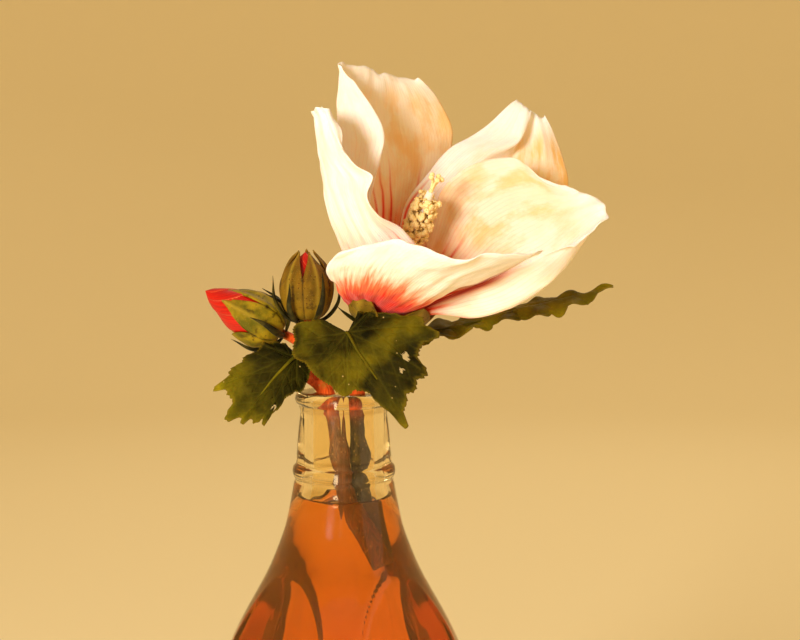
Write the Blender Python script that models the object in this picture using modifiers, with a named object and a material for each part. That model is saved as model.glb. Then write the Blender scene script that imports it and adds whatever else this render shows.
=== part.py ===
"""A hibiscus sprig in a glass bottle of water, as an assembly of its real pieces.

Two cut twigs stand in the bottle. One carries a flower of five petals round a staminal column,
the other two buds, and three toothed leaves hang from them. Metres, +Z up, with the origin in
the middle of the bottle's flat underside. The front of the arrangement faces -Y.
"""

import math

import bmesh
import bpy
import numpy as np
from mathutils import Euler, Matrix, Vector

MM = 0.001
CLEARANCE = 0.3 * MM

# The bottle. Heights are above its underside.
BOTTLE_HEIGHT = 190 * MM
BODY_RADIUS = 41.2 * MM
FOOT_RADIUS = 35.0 * MM
HEEL_RADIUS = 6.0 * MM
LIP_RADIUS = 14.0 * MM
LIP_HEIGHT = 4.6 * MM
NECK_TOP_RADIUS = 12.5 * MM
NECK_RADIUS = 13.7 * MM
COLLAR_HEIGHT = 167.0 * MM
COLLAR_BULGE = 1.0 * MM
COLLAR_THICKNESS = 3.6 * MM
BODY_TOP = 84.0 * MM
BORE_RADIUS = 8.0 * MM
MOUTH_ROUND = 0.9 * MM
WALL = 3.2 * MM
FLOOR_THICKNESS = 6.0 * MM
BOTTLE_STEPS = 40

# The four flat panels with arched ends round the body.
PANEL_COUNT = 4
PANEL_TOP = 139.0 * MM
PANEL_BOTTOM = 18.0 * MM
PANEL_ARCH_HEIGHT = 20.0 * MM
PANEL_HALF_ANGLE = math.radians(33)

WATER_LEVEL = 158.0 * MM

# Twigs and flower stalks.
FLOWER_TWIG_RADIUS = 2.6 * MM
BUD_TWIG_RADIUS = 2.8 * MM
NODE_SWELL = 1.22
PEDICEL_RADIUS = 1.1 * MM
PETIOLE_RADIUS = 0.75 * MM

# The flower. Its own frame has Z along its axis, X to the right and Y to the back.
FLOWER_BASE = Vector((9.5, 0.0, 208.0)) * MM
FLOWER_LEAN_RIGHT = 21.0
FLOWER_LEAN_FRONT = 22.0
PETAL_THICKNESS = 0.55 * MM
PETAL_ROWS = 13
PETAL_COLUMNS = 11
COLUMN_LENGTH = 45.0 * MM
COLUMN_RADIUS = 1.5 * MM
ANTHERS_START = 20.0 * MM
ANTHERS_LENGTH = 23.0 * MM
ANTHERS_RADIUS = 5.0 * MM
STIGMA_LENGTH = 6.0 * MM

CALYX_THICKNESS = 0.6 * MM
CALYX_LOBES = 5
CALYX_ROWS = 7
CALYX_COLUMNS = 6
LEAF_THICKNESS = 0.45 * MM
LEAF_ROWS = 6
NOTCH_DEPTH = 0.09
BRACT_RADIUS = 0.45 * MM


# --- scene and materials -------------------------------------------------------------------


def clear_scene():
    for obj in list(bpy.data.objects):
        bpy.data.objects.remove(obj)


def collection(name, hidden=False):
    made = bpy.data.collections.new(name)
    bpy.context.scene.collection.children.link(made)
    made.hide_render = hidden
    return made


def material(name, colour, roughness, transmission=0.0, ior=1.45):
    made = bpy.data.materials.new(name)
    made.use_nodes = True
    shader = made.node_tree.nodes["Principled BSDF"]
    shader.inputs["Base Color"].default_value = (*colour, 1.0)
    shader.inputs["Roughness"].default_value = roughness
    shader.inputs["Metallic"].default_value = 0.0
    shader.inputs["Transmission Weight"].default_value = transmission
    shader.inputs["IOR"].default_value = ior
    made.diffuse_color = (*colour, 1.0)
    return made


clear_scene()
PARTS = collection("hibiscus_in_a_bottle")
CUTTERS = collection("cutters", hidden=True)
GLASS = material("glass", (0.96, 0.95, 0.88), 0.03, transmission=1.0, ior=1.5)
WATER = material("water", (0.95, 0.42, 0.08), 0.0, transmission=1.0, ior=1.33)
BARK = material("bark", (0.30, 0.13, 0.04), 0.75)
PETAL = material("petal", (0.95, 0.80, 0.68), 0.55)
POLLEN = material("pollen", (0.92, 0.74, 0.34), 0.8)
SEPAL = material("sepal", (0.30, 0.24, 0.04), 0.6)
BUD_PETAL = material("bud_petal", (0.72, 0.05, 0.02), 0.5)
LEAF = material("leaf", (0.16, 0.16, 0.02), 0.5)
STALK = material("stalk", (0.18, 0.17, 0.04), 0.6)


def new_object(name, data, finish=None, group=None, frame=None):
    obj = bpy.data.objects.new(name, data)
    (group or PARTS).objects.link(obj)
    if finish:
        data.materials.append(finish)
    if frame:
        obj.parent = frame
    return obj


def as_cutter(obj):
    """Moves an object to the cutters, where it shapes other pieces and isn't one itself."""
    PARTS.objects.unlink(obj)
    CUTTERS.objects.link(obj)
    obj.hide_render = True
    obj.display_type = "WIRE"
    return obj


def frame_at(name, place, right=0.0, front=0.0, spin=0.0):
    """An empty whose Z leans right and to the front by those degrees, spun about itself."""
    empty = bpy.data.objects.new(name, None)
    PARTS.objects.link(empty)
    lean = Matrix.Rotation(math.radians(right), 4, "Y") @ Matrix.Rotation(math.radians(front), 4, "X")
    empty.matrix_world = Matrix.Translation(place) @ lean @ Matrix.Rotation(math.radians(spin), 4, "Z")
    return empty


def boolean(obj, other, operation="DIFFERENCE"):
    modifier = obj.modifiers.new(operation.lower(), "BOOLEAN")
    modifier.operation = operation
    modifier.object = other
    modifier.solver = "EXACT"
    return modifier


def solidify(obj, thickness):
    modifier = obj.modifiers.new("thickness", "SOLIDIFY")
    modifier.thickness = thickness
    modifier.offset = 0.0
    return modifier


# --- curves and sheets ---------------------------------------------------------------------


def smooth_line(points, count):
    """count points at even steps along a smooth curve through the given ones."""
    knots = np.array(points, float)
    steps = np.linalg.norm(np.diff(knots, axis=0), axis=1)
    reach = np.concatenate([[0.0], np.cumsum(steps)])
    slopes = np.gradient(knots, reach, axis=0)
    at = np.linspace(0.0, reach[-1], count)
    i = np.clip(np.searchsorted(reach, at, side="right") - 1, 0, len(steps) - 1)
    h = steps[i][:, None]
    s = ((at - reach[i]) / steps[i])[:, None]
    return (
        (1 + 2 * s) * (1 - s) ** 2 * knots[i]
        + s * (1 - s) ** 2 * h * slopes[i]
        + s * s * (3 - 2 * s) * knots[i + 1]
        + s * s * (s - 1) * h * slopes[i + 1]
    )


def arc(centre, radius, start, end, count):
    """Points (r, z) on an arc, with its angles in degrees."""
    angles = np.radians(np.linspace(start, end, count))
    return [(centre[0] + radius * math.cos(a), centre[1] + radius * math.sin(a)) for a in angles]


def sheet_mesh(name, grid):
    """A mesh sheet through a grid of points, rows by columns."""
    rows, columns = grid.shape[:2]
    mesh = bmesh.new()
    corners = [[mesh.verts.new(grid[i, j]) for j in range(columns)] for i in range(rows)]
    for i in range(rows - 1):
        for j in range(columns - 1):
            mesh.faces.new((corners[i][j], corners[i][j + 1], corners[i + 1][j + 1], corners[i + 1][j]))
    bmesh.ops.remove_doubles(mesh, verts=mesh.verts, dist=1e-6)
    data = bpy.data.meshes.new(name)
    mesh.to_mesh(data)
    mesh.free()
    data.shade_smooth()
    return data


def sheet(name, grid, thickness, finish, frame=None):
    obj = new_object(name, sheet_mesh(name, grid), finish, frame=frame)
    solidify(obj, thickness)
    return obj


def turned(name, profile, finish=None, steps=BOTTLE_STEPS, frame=None):
    """A profile of (r, z) points, from its top down the outer side, turned about Z."""
    data = bpy.data.meshes.new(name)
    points = [(r, 0.0, z) for r, z in profile]
    data.from_pydata(points, [(i, i + 1) for i in range(len(points) - 1)], [])
    obj = new_object(name, data, finish, frame=frame)
    screw = obj.modifiers.new("turn", "SCREW")
    screw.steps = steps
    screw.render_steps = steps
    screw.use_merge_vertices = True
    screw.merge_threshold = 0.00001
    screw.use_smooth_shade = True
    return obj


def tube(name, points, radii, finish, sides=12, frame=None):
    """A round bar along a line of points, with a radius at each."""
    data = bpy.data.curves.new(name, "CURVE")
    data.dimensions = "3D"
    data.bevel_depth = 1.0
    data.bevel_resolution = (sides - 4) // 2
    data.use_fill_caps = True
    spline = data.splines.new("POLY")
    spline.points.add(len(points) - 1)
    for knot, place, radius in zip(spline.points, points, radii):
        knot.co = (*place, 1.0)
        knot.radius = radius
    return new_object(name, data, finish, frame=frame)


def as_mesh(obj):
    """Replaces a curve object with a mesh of the same shape, its caps welded."""
    name, finish, world = obj.name, obj.data.materials[0], obj.matrix_world.copy()
    graph = bpy.context.evaluated_depsgraph_get()
    data = bpy.data.meshes.new_from_object(obj.evaluated_get(graph))
    bpy.data.objects.remove(obj)
    mesh = bmesh.new()
    mesh.from_mesh(data)
    bmesh.ops.remove_doubles(mesh, verts=mesh.verts, dist=1e-6)
    mesh.to_mesh(data)
    mesh.free()
    data.materials.clear()
    made = new_object(name, data, finish)
    made.matrix_world = world
    return made


# --- the bottle and its water --------------------------------------------------------------


def shoulder_points(count):
    """The bottle's flare from under the neck's collar to the top of the straight body."""
    return smooth_line(
        [
            (NECK_RADIUS + 0.5 * MM, COLLAR_HEIGHT - COLLAR_THICKNESS / 2),
            (NECK_RADIUS + 1.5 * MM, 159.5 * MM),
            (NECK_RADIUS + 3.3 * MM, 151.0 * MM),
            (NECK_RADIUS + 6.6 * MM, 142.0 * MM),
            (BODY_RADIUS - 9.1 * MM, 119.0 * MM),
            (BODY_RADIUS - 1.9 * MM, 101.0 * MM),
            (BODY_RADIUS, BODY_TOP),
        ],
        count,
    )


def outer_profile():
    top = BOTTLE_HEIGHT
    collar = [
        (NECK_RADIUS + COLLAR_BULGE * math.cos(a), COLLAR_HEIGHT + COLLAR_THICKNESS / 2 * math.sin(a))
        for a in np.radians(np.linspace(90, -90, 6))
    ]
    lip_round = LIP_HEIGHT / 2
    lip = arc((LIP_RADIUS - lip_round, top - lip_round), lip_round, 90, -60, 6)
    heel = arc((FOOT_RADIUS, HEEL_RADIUS), HEEL_RADIUS, 0, -90, 5)
    return [
        (0.0, top),
        *lip,
        (NECK_TOP_RADIUS, top - LIP_HEIGHT - 0.6 * MM),
        (NECK_TOP_RADIUS + 0.6 * MM, 179.0 * MM),
        *collar,
        *[tuple(p) for p in shoulder_points(12)[1:]],
        *heel,
        (0.0, 0.0),
    ]


def outer_radius(z):
    """The turned radius of the flare and body at a height."""
    flare = shoulder_points(40)[::-1]
    return float(np.interp(z, flare[:, 1], flare[:, 0]))


def inner_profile(inset=0.0):
    """The hollow of the bottle, made smaller all round by inset."""
    flare = [
        (BORE_RADIUS, COLLAR_HEIGHT),
        (BORE_RADIUS + 0.5 * MM, 160.0 * MM),
        (outer_radius(150.0 * MM) - 1.3 * WALL, 150.0 * MM),
        (outer_radius(140.0 * MM) - WALL, 140.0 * MM),
        (outer_radius(119.0 * MM) - WALL, 119.0 * MM),
        (outer_radius(101.0 * MM) - WALL, 101.0 * MM),
        (BODY_RADIUS - WALL, BODY_TOP),
    ]
    flare = [(r - inset, z) for r, z in smooth_line(flare, 10)]
    corner = 7.0 * MM
    floor = FLOOR_THICKNESS + inset
    foot_wall = BODY_RADIUS - WALL - inset
    return flare + arc((foot_wall - corner, floor + corner), corner, 0, -90, 5) + [(0.0, floor)]


def panel_half_angle(z):
    """Half the angle that a panel covers at a height: full in the middle, with an elliptical arch
    at each end."""
    into_top = (z - (PANEL_TOP - PANEL_ARCH_HEIGHT)) / PANEL_ARCH_HEIGHT
    into_bottom = ((PANEL_BOTTOM + PANEL_ARCH_HEIGHT) - z) / PANEL_ARCH_HEIGHT
    into = min(max(into_top, into_bottom, 0.0), 1.0)
    return PANEL_HALF_ANGLE * math.sqrt(1.0 - into * into)


def panel_distance(z):
    return outer_radius(z) * math.cos(panel_half_angle(z))


def panel_cutters(name, inset):
    """Four prisms outside the panels. Each one's inner face runs down the panel, moved in."""
    share = 1.0 - np.cos(np.linspace(0.0, math.pi, 15))
    heights = PANEL_TOP + (PANEL_BOTTOM - PANEL_TOP) * share / 2
    face_line = [(panel_distance(z) - inset, z) for z in heights]
    far = 2 * BODY_RADIUS
    outline = [(far, PANEL_TOP), *face_line, (far, PANEL_BOTTOM)]
    mesh = bmesh.new()
    for k in range(PANEL_COUNT):
        turn = Matrix.Rotation(math.radians(45 + k * 360 / PANEL_COUNT), 4, "Z")
        near = [mesh.verts.new(turn @ Vector((r, -BODY_RADIUS, z))) for r, z in outline]
        base = mesh.faces.new(near)
        grown = bmesh.ops.extrude_face_region(mesh, geom=[base])["geom"]
        moved = [v for v in grown if isinstance(v, bmesh.types.BMVert)]
        bmesh.ops.translate(mesh, verts=moved, vec=turn.to_3x3() @ Vector((0, 2 * BODY_RADIUS, 0)))
    bmesh.ops.recalc_face_normals(mesh, faces=mesh.faces)
    data = bpy.data.meshes.new(name)
    mesh.to_mesh(data)
    mesh.free()
    return as_cutter(new_object(name, data))


def make_bottle():
    bottle = turned("bottle", outer_profile(), GLASS)
    above = BOTTLE_HEIGHT + 1 * MM
    mouth = arc(
        (BORE_RADIUS + MOUTH_ROUND, BOTTLE_HEIGHT - MOUTH_ROUND), MOUTH_ROUND, 90, 180, 4
    )
    throat = [(0.0, above), (BORE_RADIUS + MOUTH_ROUND, above), *mouth]
    cavity = as_cutter(turned("cavity", throat + inner_profile()))
    boolean(cavity, panel_cutters("panel_insides", WALL))
    boolean(bottle, panel_cutters("panel_cutters", 0.0))
    boolean(bottle, cavity)
    return bottle


def make_water(twigs):
    """The water fills the bottle to its level, clear of the glass and of each twig."""
    profile = inner_profile(CLEARANCE)
    heights = [z for _, z in profile]
    radii = [r for r, _ in profile]
    level_radius = float(np.interp(WATER_LEVEL, heights[::-1], radii[::-1]))
    below = [(r, z) for r, z in profile if z < WATER_LEVEL]
    water = turned("water", [(0.0, WATER_LEVEL), (level_radius, WATER_LEVEL), *below], WATER)
    boolean(water, panel_cutters("water_panels", WALL + CLEARANCE))
    for name, points, radii in twigs:
        grown = tube(name + "_room", points, [r + CLEARANCE for r in radii], BARK)
        grown = as_mesh(grown)
        boolean(water, as_cutter(grown))
    return water


# --- twigs ---------------------------------------------------------------------------------


def twig_radii(points, radius, nodes):
    """The radius at each point: a slow taper upwards, with a swelling at each node height."""
    heights = points[:, 2]
    taper = 1.0 - 0.18 * (heights - heights.min()) / np.ptp(heights)
    swell = sum((NODE_SWELL - 1.0) * np.exp(-(((heights - z * MM) / (2.2 * MM)) ** 2)) for z in nodes)
    return radius * (taper + swell)


FLOWER_TWIG_ROUTE = [
    (8.0, 1.4, 141.0),
    (6.1, 1.6, 152.0),
    (4.8, 1.4, 163.0),
    (4.1, 1.2, 178.0),
    (3.8, 1.4, 190.0),
    (4.6, 2.4, 197.0),
    (6.2, 2.8, 201.5),
    (7.9, 1.6, 204.4),
    (9.35, 0.15, 207.75),
]
BUD_TWIG_ROUTE = [
    (9.6, -5.8, 139.5),
    (6.0, -4.6, 147.5),
    (1.2, -2.2, 158.0),
    (-0.6, -1.2, 167.0),
    (-1.8, -0.8, 176.0),
    (-3.6, -0.6, 184.5),
    (-6.2, -0.4, 191.6),
    (-9.6, -0.2, 195.4),
    (-9.2, 0.2, 199.6),
    (-8.2, 0.4, 203.0),
]
# The stalks of the two buds, which branch from the top of the bud twig.
BUD_STALKS = [
    [(-8.2, 0.4, 202.0), (-8.4, -0.6, 205.4), (-9.4, -2.4, 208.4), (-10.2, -3.5, 210.6)],
    [(-9.0, 0.2, 200.8), (-11.2, 0.8, 203.0), (-14.6, 2.2, 204.7), (-17.6, 3.15, 206.0)],
]


def make_twig(name, route, radius, nodes, branches=()):
    """A twig and the stalks that grow from it, as one piece. Its line and radii come back too."""
    points = smooth_line(np.array(route) * MM, 18)
    radii = twig_radii(points, radius, nodes)
    twig = as_mesh(tube(name, points, radii, BARK))
    for k, branch in enumerate(branches):
        line = smooth_line(np.array(branch) * MM, 6)
        taper = np.linspace(1.25, 0.95, len(line)) * PEDICEL_RADIUS
        stalk = as_mesh(tube(f"{name}_branch_{k + 1}", line, taper, BARK, sides=8))
        boolean(twig, as_cutter(stalk), "UNION")
    return name, points, radii


# --- the flower ----------------------------------------------------------------------------

# Each petal's azimuth round the flower, and five lines over it from its claw to its top margin, in
# order round the flower. A line's points are (right, back, up) from the flower's base, in mm.
PETALS = {
    "petal_back_right": (
        65,
        [
            [(17.0, 5.0, 16.0), (36.0, 4.0, 27.0), (54.5, 4.0, 41.0), (49.5, 10.0, 58.0)],
            [(14.5, 5.0, 18.0), (30.0, 8.0, 32.0), (46.0, 10.0, 46.0), (50.0, 14.0, 61.0)],
            [(12.0, 3.0, 20.0), (23.5, 8.0, 36.0), (37.0, 12.0, 49.0), (46.5, 15.0, 63.5)],
            [(9.0, 0.5, 22.5), (17.5, 4.0, 39.0), (30.0, 8.0, 50.5), (41.5, 13.0, 66.0)],
            [(6.0, 1.0, 25.0), (10.0, 4.0, 38.5), (22.5, 7.0, 51.0), (31.5, 13.0, 55.0)],
        ],
    ),
    "petal_back_left": (
        137,
        [
            [(10.0, 8.0, 23.5), (18.5, 13.0, 38.0), (21.7, 14.0, 51.0), (13.5, 6.0, 70.0)],
            [(7.0, 6.0, 23.5), (11.5, 8.5, 41.0), (13.0, 7.0, 57.0), (8.0, 2.0, 71.5)],
            [(2.0, 1.0, 24.0), (1.5, 1.5, 42.0), (1.0, 0.0, 59.0), (0.5, -4.0, 72.0)],
            [(-4.0, -7.0, 24.0), (-8.0, -11.0, 41.0), (-10.5, -14.0, 58.0), (-10.5, -15.0, 73.0)],
            [(-3.5, -10.0, 24.5), (-1.0, -15.5, 41.0), (1.5, -18.0, 55.0), (-8.0, -17.0, 70.5)],
        ],
    ),
    "petal_left": (
        209,
        [
            [(-7.5, -4.0, 20.0), (-11.5, -8.0, 34.0), (-14.0, -10.0, 48.0), (-15.5, -14.0, 60.0)],
            [(-7.5, -8.0, 18.0), (-12.8, -15.0, 33.0), (-15.0, -20.0, 47.5), (-16.2, -22.0, 61.0)],
            [(-5.0, -12.0, 16.0), (-9.0, -22.0, 31.0), (-12.0, -28.0, 46.0), (-14.5, -28.0, 62.0)],
            [(2.0, -16.5, 14.5), (0.0, -29.5, 28.5), (-7.0, -34.0, 45.0), (-12.5, -31.5, 61.0)],
            [(9.5, -22.0, 14.0), (8.5, -35.5, 28.0), (-5.5, -38.0, 42.0), (-11.0, -33.0, 58.0)],
        ],
    ),
    "petal_front": (
        281,
        [
            [(-4.6, -10.2, 9.0), (-8.6, -20.0, 14.0), (-12.3, -30.0, 21.0), (-7.4, -35.0, 24.0)],
            [(-1.0, -14.2, 8.0), (-1.0, -27.0, 12.0), (2.0, -38.0, 19.0), (4.0, -46.0, 26.0)],
            [(4.0, -16.0, 6.0), (8.0, -30.0, 11.0), (15.0, -43.0, 17.5), (21.0, -54.0, 23.0)],
            [(8.0, -17.0, 6.0), (14.0, -30.0, 10.5), (24.0, -42.0, 17.0), (36.0, -52.0, 23.5)],
            [(12.0, -16.0, 7.0), (20.0, -27.0, 12.0), (31.0, -37.0, 17.5), (44.0, -43.0, 24.5)],
        ],
    ),
    "petal_right": (
        353,
        [
            [(17.0, -15.0, 9.0), (34.0, -27.0, 17.0), (46.0, -32.0, 23.0), (53.0, -33.0, 25.0)],
            [(15.0, -12.0, 5.0), (28.4, -22.0, 5.5), (44.0, -28.0, 13.0), (57.5, -30.0, 29.7)],
            [(17.0, -8.0, 8.0), (34.0, -14.0, 12.0), (50.0, -20.0, 20.0), (62.0, -27.0, 32.8)],
            [(16.0, -3.0, 15.0), (32.0, -5.0, 30.0), (50.0, -12.0, 35.0), (56.0, -18.0, 39.0)],
            [(13.5, -1.5, 22.0), (20.0, -1.5, 41.5), (38.0, -4.5, 48.5), (47.0, -12.0, 42.0)],
        ],
    ),
}
CLAW_OUT = 3.4 * MM
CLAW_UP = 3.0 * MM
CLAW_HALF_WIDTH = 1.7 * MM


def flower_axes():
    """The flower's own directions, as the columns of a matrix: right, back and along its axis."""
    lean = Matrix.Rotation(math.radians(FLOWER_LEAN_RIGHT), 3, "Y")
    lean = lean @ Matrix.Rotation(math.radians(FLOWER_LEAN_FRONT), 3, "X")
    return np.array(lean)


def petal_grid(azimuth, lines, rows, columns):
    """The points of a petal's sheet, from its claw up, relative to the flower's base."""
    angle = math.radians(azimuth)
    axes = flower_axes()
    out = axes @ (math.cos(angle), math.sin(angle), 0.0)
    around = axes @ (-math.sin(angle), math.cos(angle), 0.0)
    along = []
    for share, line in zip(np.linspace(-1.0, 1.0, len(lines)), lines):
        claw = out * CLAW_OUT + around * CLAW_HALF_WIDTH * share + axes[:, 2] * CLAW_UP
        along.append(smooth_line(np.vstack([claw, np.array(line) * MM]), rows))
    along = np.array(along)
    return np.array([smooth_line(along[:, i], columns) for i in range(rows)])


def calyx_grid(profile, cup_share, lobe_depth, rows, per_lobe, lobes=CALYX_LOBES, spin=0.0):
    """A bell of joined sepals with pointed lobes. The profile is (r, z) from its base up, at the
    tip of a lobe. Between lobes the sheet stops at lobe_depth of its length below the tips."""
    line = smooth_line(np.array(profile) * MM, 80)
    columns = lobes * per_lobe + 1
    grid = np.zeros((rows, columns, 3))
    for j in range(columns):
        angle = 2 * math.pi * j / (columns - 1) + math.radians(spin)
        phase = (j % per_lobe) / per_lobe
        notch = abs(2 * phase - 1) ** cup_share
        reach = 1.0 - lobe_depth * notch
        for i in range(rows):
            share = reach * i / (rows - 1)
            r = np.interp(share * 79, np.arange(80), line[:, 0])
            z = np.interp(share * 79, np.arange(80), line[:, 1])
            grid[i, j] = (r * math.cos(angle), r * math.sin(angle), z)
    return grid


def bract_points(base_radius, length, flare, azimuth, bow, count=7):
    """A linear bract's midline: out from under a calyx, then up beside it."""
    angle = math.radians(azimuth)
    line = smooth_line(
        np.array(
            [
                (base_radius, -0.9),
                (base_radius + 0.45 * flare, 0.2),
                (base_radius + flare, 0.4 * length),
                (base_radius + flare + bow, length),
            ]
        )
        * MM,
        count,
    )
    return [(r * math.cos(angle), r * math.sin(angle), z) for r, z in line]


def make_bracts(prefix, frame, count, base_radius, length, flare, bow, spin):
    for k in range(count):
        vary = math.sin(2.4 * k + spin)
        points = bract_points(
            base_radius, length * (1 + 0.14 * vary), flare, spin + 360 * k / count, bow * (1 + 0.5 * vary)
        )
        taper = np.array([0.8, 1.0, 1.1, 1.1, 1.0, 0.75, 0.3]) * BRACT_RADIUS
        tube(f"{prefix}_bract_{k + 1}", points, taper, STALK, sides=6, frame=frame)


def make_flower():
    frame = frame_at("flower_frame", FLOWER_BASE, FLOWER_LEAN_RIGHT, FLOWER_LEAN_FRONT)
    for name, (azimuth, lines) in PETALS.items():
        grid = petal_grid(azimuth, lines, PETAL_ROWS, PETAL_COLUMNS)
        petal = sheet(name, grid, PETAL_THICKNESS, PETAL)
        petal.location = FLOWER_BASE

    start = 2.2 * MM
    column = [
        (0.0, COLUMN_LENGTH),
        (0.7 * COLUMN_RADIUS, COLUMN_LENGTH),
        (0.8 * COLUMN_RADIUS, ANTHERS_START + 0.6 * ANTHERS_LENGTH),
        (COLUMN_RADIUS, ANTHERS_START),
        (1.3 * COLUMN_RADIUS, 8.0 * MM),
        (1.3 * COLUMN_RADIUS, start),
        (0.0, start),
    ]
    turned("staminal_column", column, PETAL, steps=16, frame=frame)

    middle = ANTHERS_START + ANTHERS_LENGTH / 2
    bore = COLUMN_RADIUS + CLEARANCE
    outside = [
        (bore + (ANTHERS_RADIUS - bore) * math.cos(a) ** 0.7, middle + ANTHERS_LENGTH / 2 * math.sin(a))
        for a in np.radians(np.linspace(84, -84, 11))
    ]
    inside = [(bore, middle - 0.48 * ANTHERS_LENGTH), (bore, middle + 0.48 * ANTHERS_LENGTH)]
    turned("anthers", [*outside, *inside, outside[0]], POLLEN, steps=16, frame=frame)

    seat = COLUMN_LENGTH + CLEARANCE
    stigma = [
        (0.0, seat + STIGMA_LENGTH),
        (1.4 * MM, seat + STIGMA_LENGTH - 0.4 * MM),
        (1.9 * MM, seat + STIGMA_LENGTH - 1.4 * MM),
        (1.2 * MM, seat + STIGMA_LENGTH - 2.4 * MM),
        (0.6 * MM, seat + STIGMA_LENGTH - 3.2 * MM),
        (0.6 * MM, seat),
        (0.0, seat),
    ]
    turned("stigma", stigma, POLLEN, steps=12, frame=frame)

    bell = [(0.0, 0.9), (3.0, 0.6), (5.8, 1.6), (8.8, 4.2), (11.8, 8.0), (14.6, 12.2)]
    grid = calyx_grid(bell, 0.8, 0.5, CALYX_ROWS, CALYX_COLUMNS, spin=202)
    sheet("flower_calyx", grid, CALYX_THICKNESS, SEPAL, frame)
    make_bracts("flower", frame, 6, 3.1, 4.0, 6.0, 4.6, 15)
    return frame


# --- buds ----------------------------------------------------------------------------------


def make_bud(name, place, lean, spin, bell, notch, corolla, bracts):
    """A bud: joined sepals round a furled corolla, with thin bracts under them."""
    right, front = lean
    bract_length, bract_flare, bract_spin = bracts
    frame = frame_at(f"{name}_frame", Vector(place) * MM, right, front, spin)
    grid = calyx_grid(bell, 0.85, notch, CALYX_ROWS, CALYX_COLUMNS)
    sheet(f"{name}_calyx", grid, CALYX_THICKNESS, SEPAL, frame)
    profile = smooth_line(np.array(corolla) * MM, 12)
    turned(f"{name}_petals", [tuple(p) for p in profile], BUD_PETAL, steps=20, frame=frame)
    make_bracts(name, frame, 6, 2.0, bract_length, bract_flare, 0.6, bract_spin)


def make_buds():
    make_bud(
        "centre_bud",
        (-10.2, -3.6, 210.8),
        (-1, 7),
        49,
        [(0.0, 0.5), (3.6, 0.8), (6.4, 4.6), (7.2, 9.6), (5.4, 15.2), (1.8, 19.4)],
        0.42,
        [(0.0, 19.4), (1.4, 18.2), (4.4, 14.2), (6.3, 9.6), (5.6, 5.0), (2.8, 2.0), (0.0, 1.6)],
        (13.0, 6.8, 30),
    )
    make_bud(
        "left_bud",
        (-18.0, 3.2, 206.2),
        (-60, 6),
        33,
        [(0.0, 0.5), (3.6, 0.8), (6.8, 4.6), (7.7, 8.6), (6.8, 13.0), (4.4, 18.0)],
        0.58,
        [(0.0, 25.0), (1.2, 23.0), (3.9, 17.8), (6.3, 12.2), (6.5, 8.0), (5.2, 4.4), (2.6, 1.9), (0.0, 1.6)],
        (11.0, 6.8, 0),
    )


# --- leaves --------------------------------------------------------------------------------

def leaf_edge(outline):
    """The directions and reaches round a leaf's toothed margin, with a notch between each two
    points of its outline."""
    edge = []
    for (direction, reach), (next_direction, next_reach) in zip(outline, outline[1:]):
        notch = (reach + next_reach) / 2 * (1 - NOTCH_DEPTH)
        edge += [(direction, reach), ((direction + next_direction) / 2, notch)]
    return [*edge, outline[-1]]


def leaf_grid(leaf, rows):
    """The sheet of a leaf. It is drawn flat round the top of its petiole, then bent along the
    curve of its midrib, with its halves raised and its margin waved."""
    rib = smooth_line(np.array(leaf["midrib"]) * MM, 101)
    tangent = np.gradient(rib, axis=0)
    tangent /= np.linalg.norm(tangent, axis=1)[:, None]
    side = np.cross(np.array(leaf["facing"], float), tangent)
    side /= np.linalg.norm(side, axis=1)[:, None]
    normal = np.cross(tangent, side)
    length = np.linalg.norm(np.diff(rib, axis=0), axis=1).sum()
    edge = leaf_edge(leaf["outline"])
    grid = np.zeros((rows, len(edge), 3))
    for j, (angle, reach) in enumerate(edge):
        for i in range(rows):
            r = reach * length * i / (rows - 1)
            along = r * math.cos(math.radians(angle))
            across = r * math.sin(math.radians(angle))
            on_rib = min(max(along / length, 0.0), 1.0)
            k = min(int(on_rib * 100), 99)
            f = on_rib * 100 - k
            centre = rib[k] * (1 - f) + rib[k + 1] * f + tangent[k] * (along - on_rib * length)
            b = side[k] * (1 - f) + side[k + 1] * f
            n = normal[k] * (1 - f) + normal[k + 1] * f
            lift = leaf["bends"][int(across > 0)] * MM * (across / (10 * MM)) ** 2
            lift += leaf["fold"] * abs(across)
            lift += leaf["wave"] * MM * (r / length) ** 2 * math.sin(math.radians(angle * 5))
            grid[i, j] = centre + b * across + n * lift
    return grid


def make_leaf(name, leaf):
    """A blade and its petiole, grown as one piece."""
    blade = sheet(name, leaf_grid(leaf, LEAF_ROWS), LEAF_THICKNESS, LEAF)
    ribs = smooth_line(np.array(leaf["petiole"] + leaf["midrib"][:3]) * MM, 10)
    taper = np.linspace(1.0, 0.45, len(ribs)) * PETIOLE_RADIUS
    rod = as_cutter(as_mesh(tube(name + "_petiole", ribs, taper, LEAF, sides=8)))
    boolean(blade, rod, "UNION")
    return blade


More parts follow.
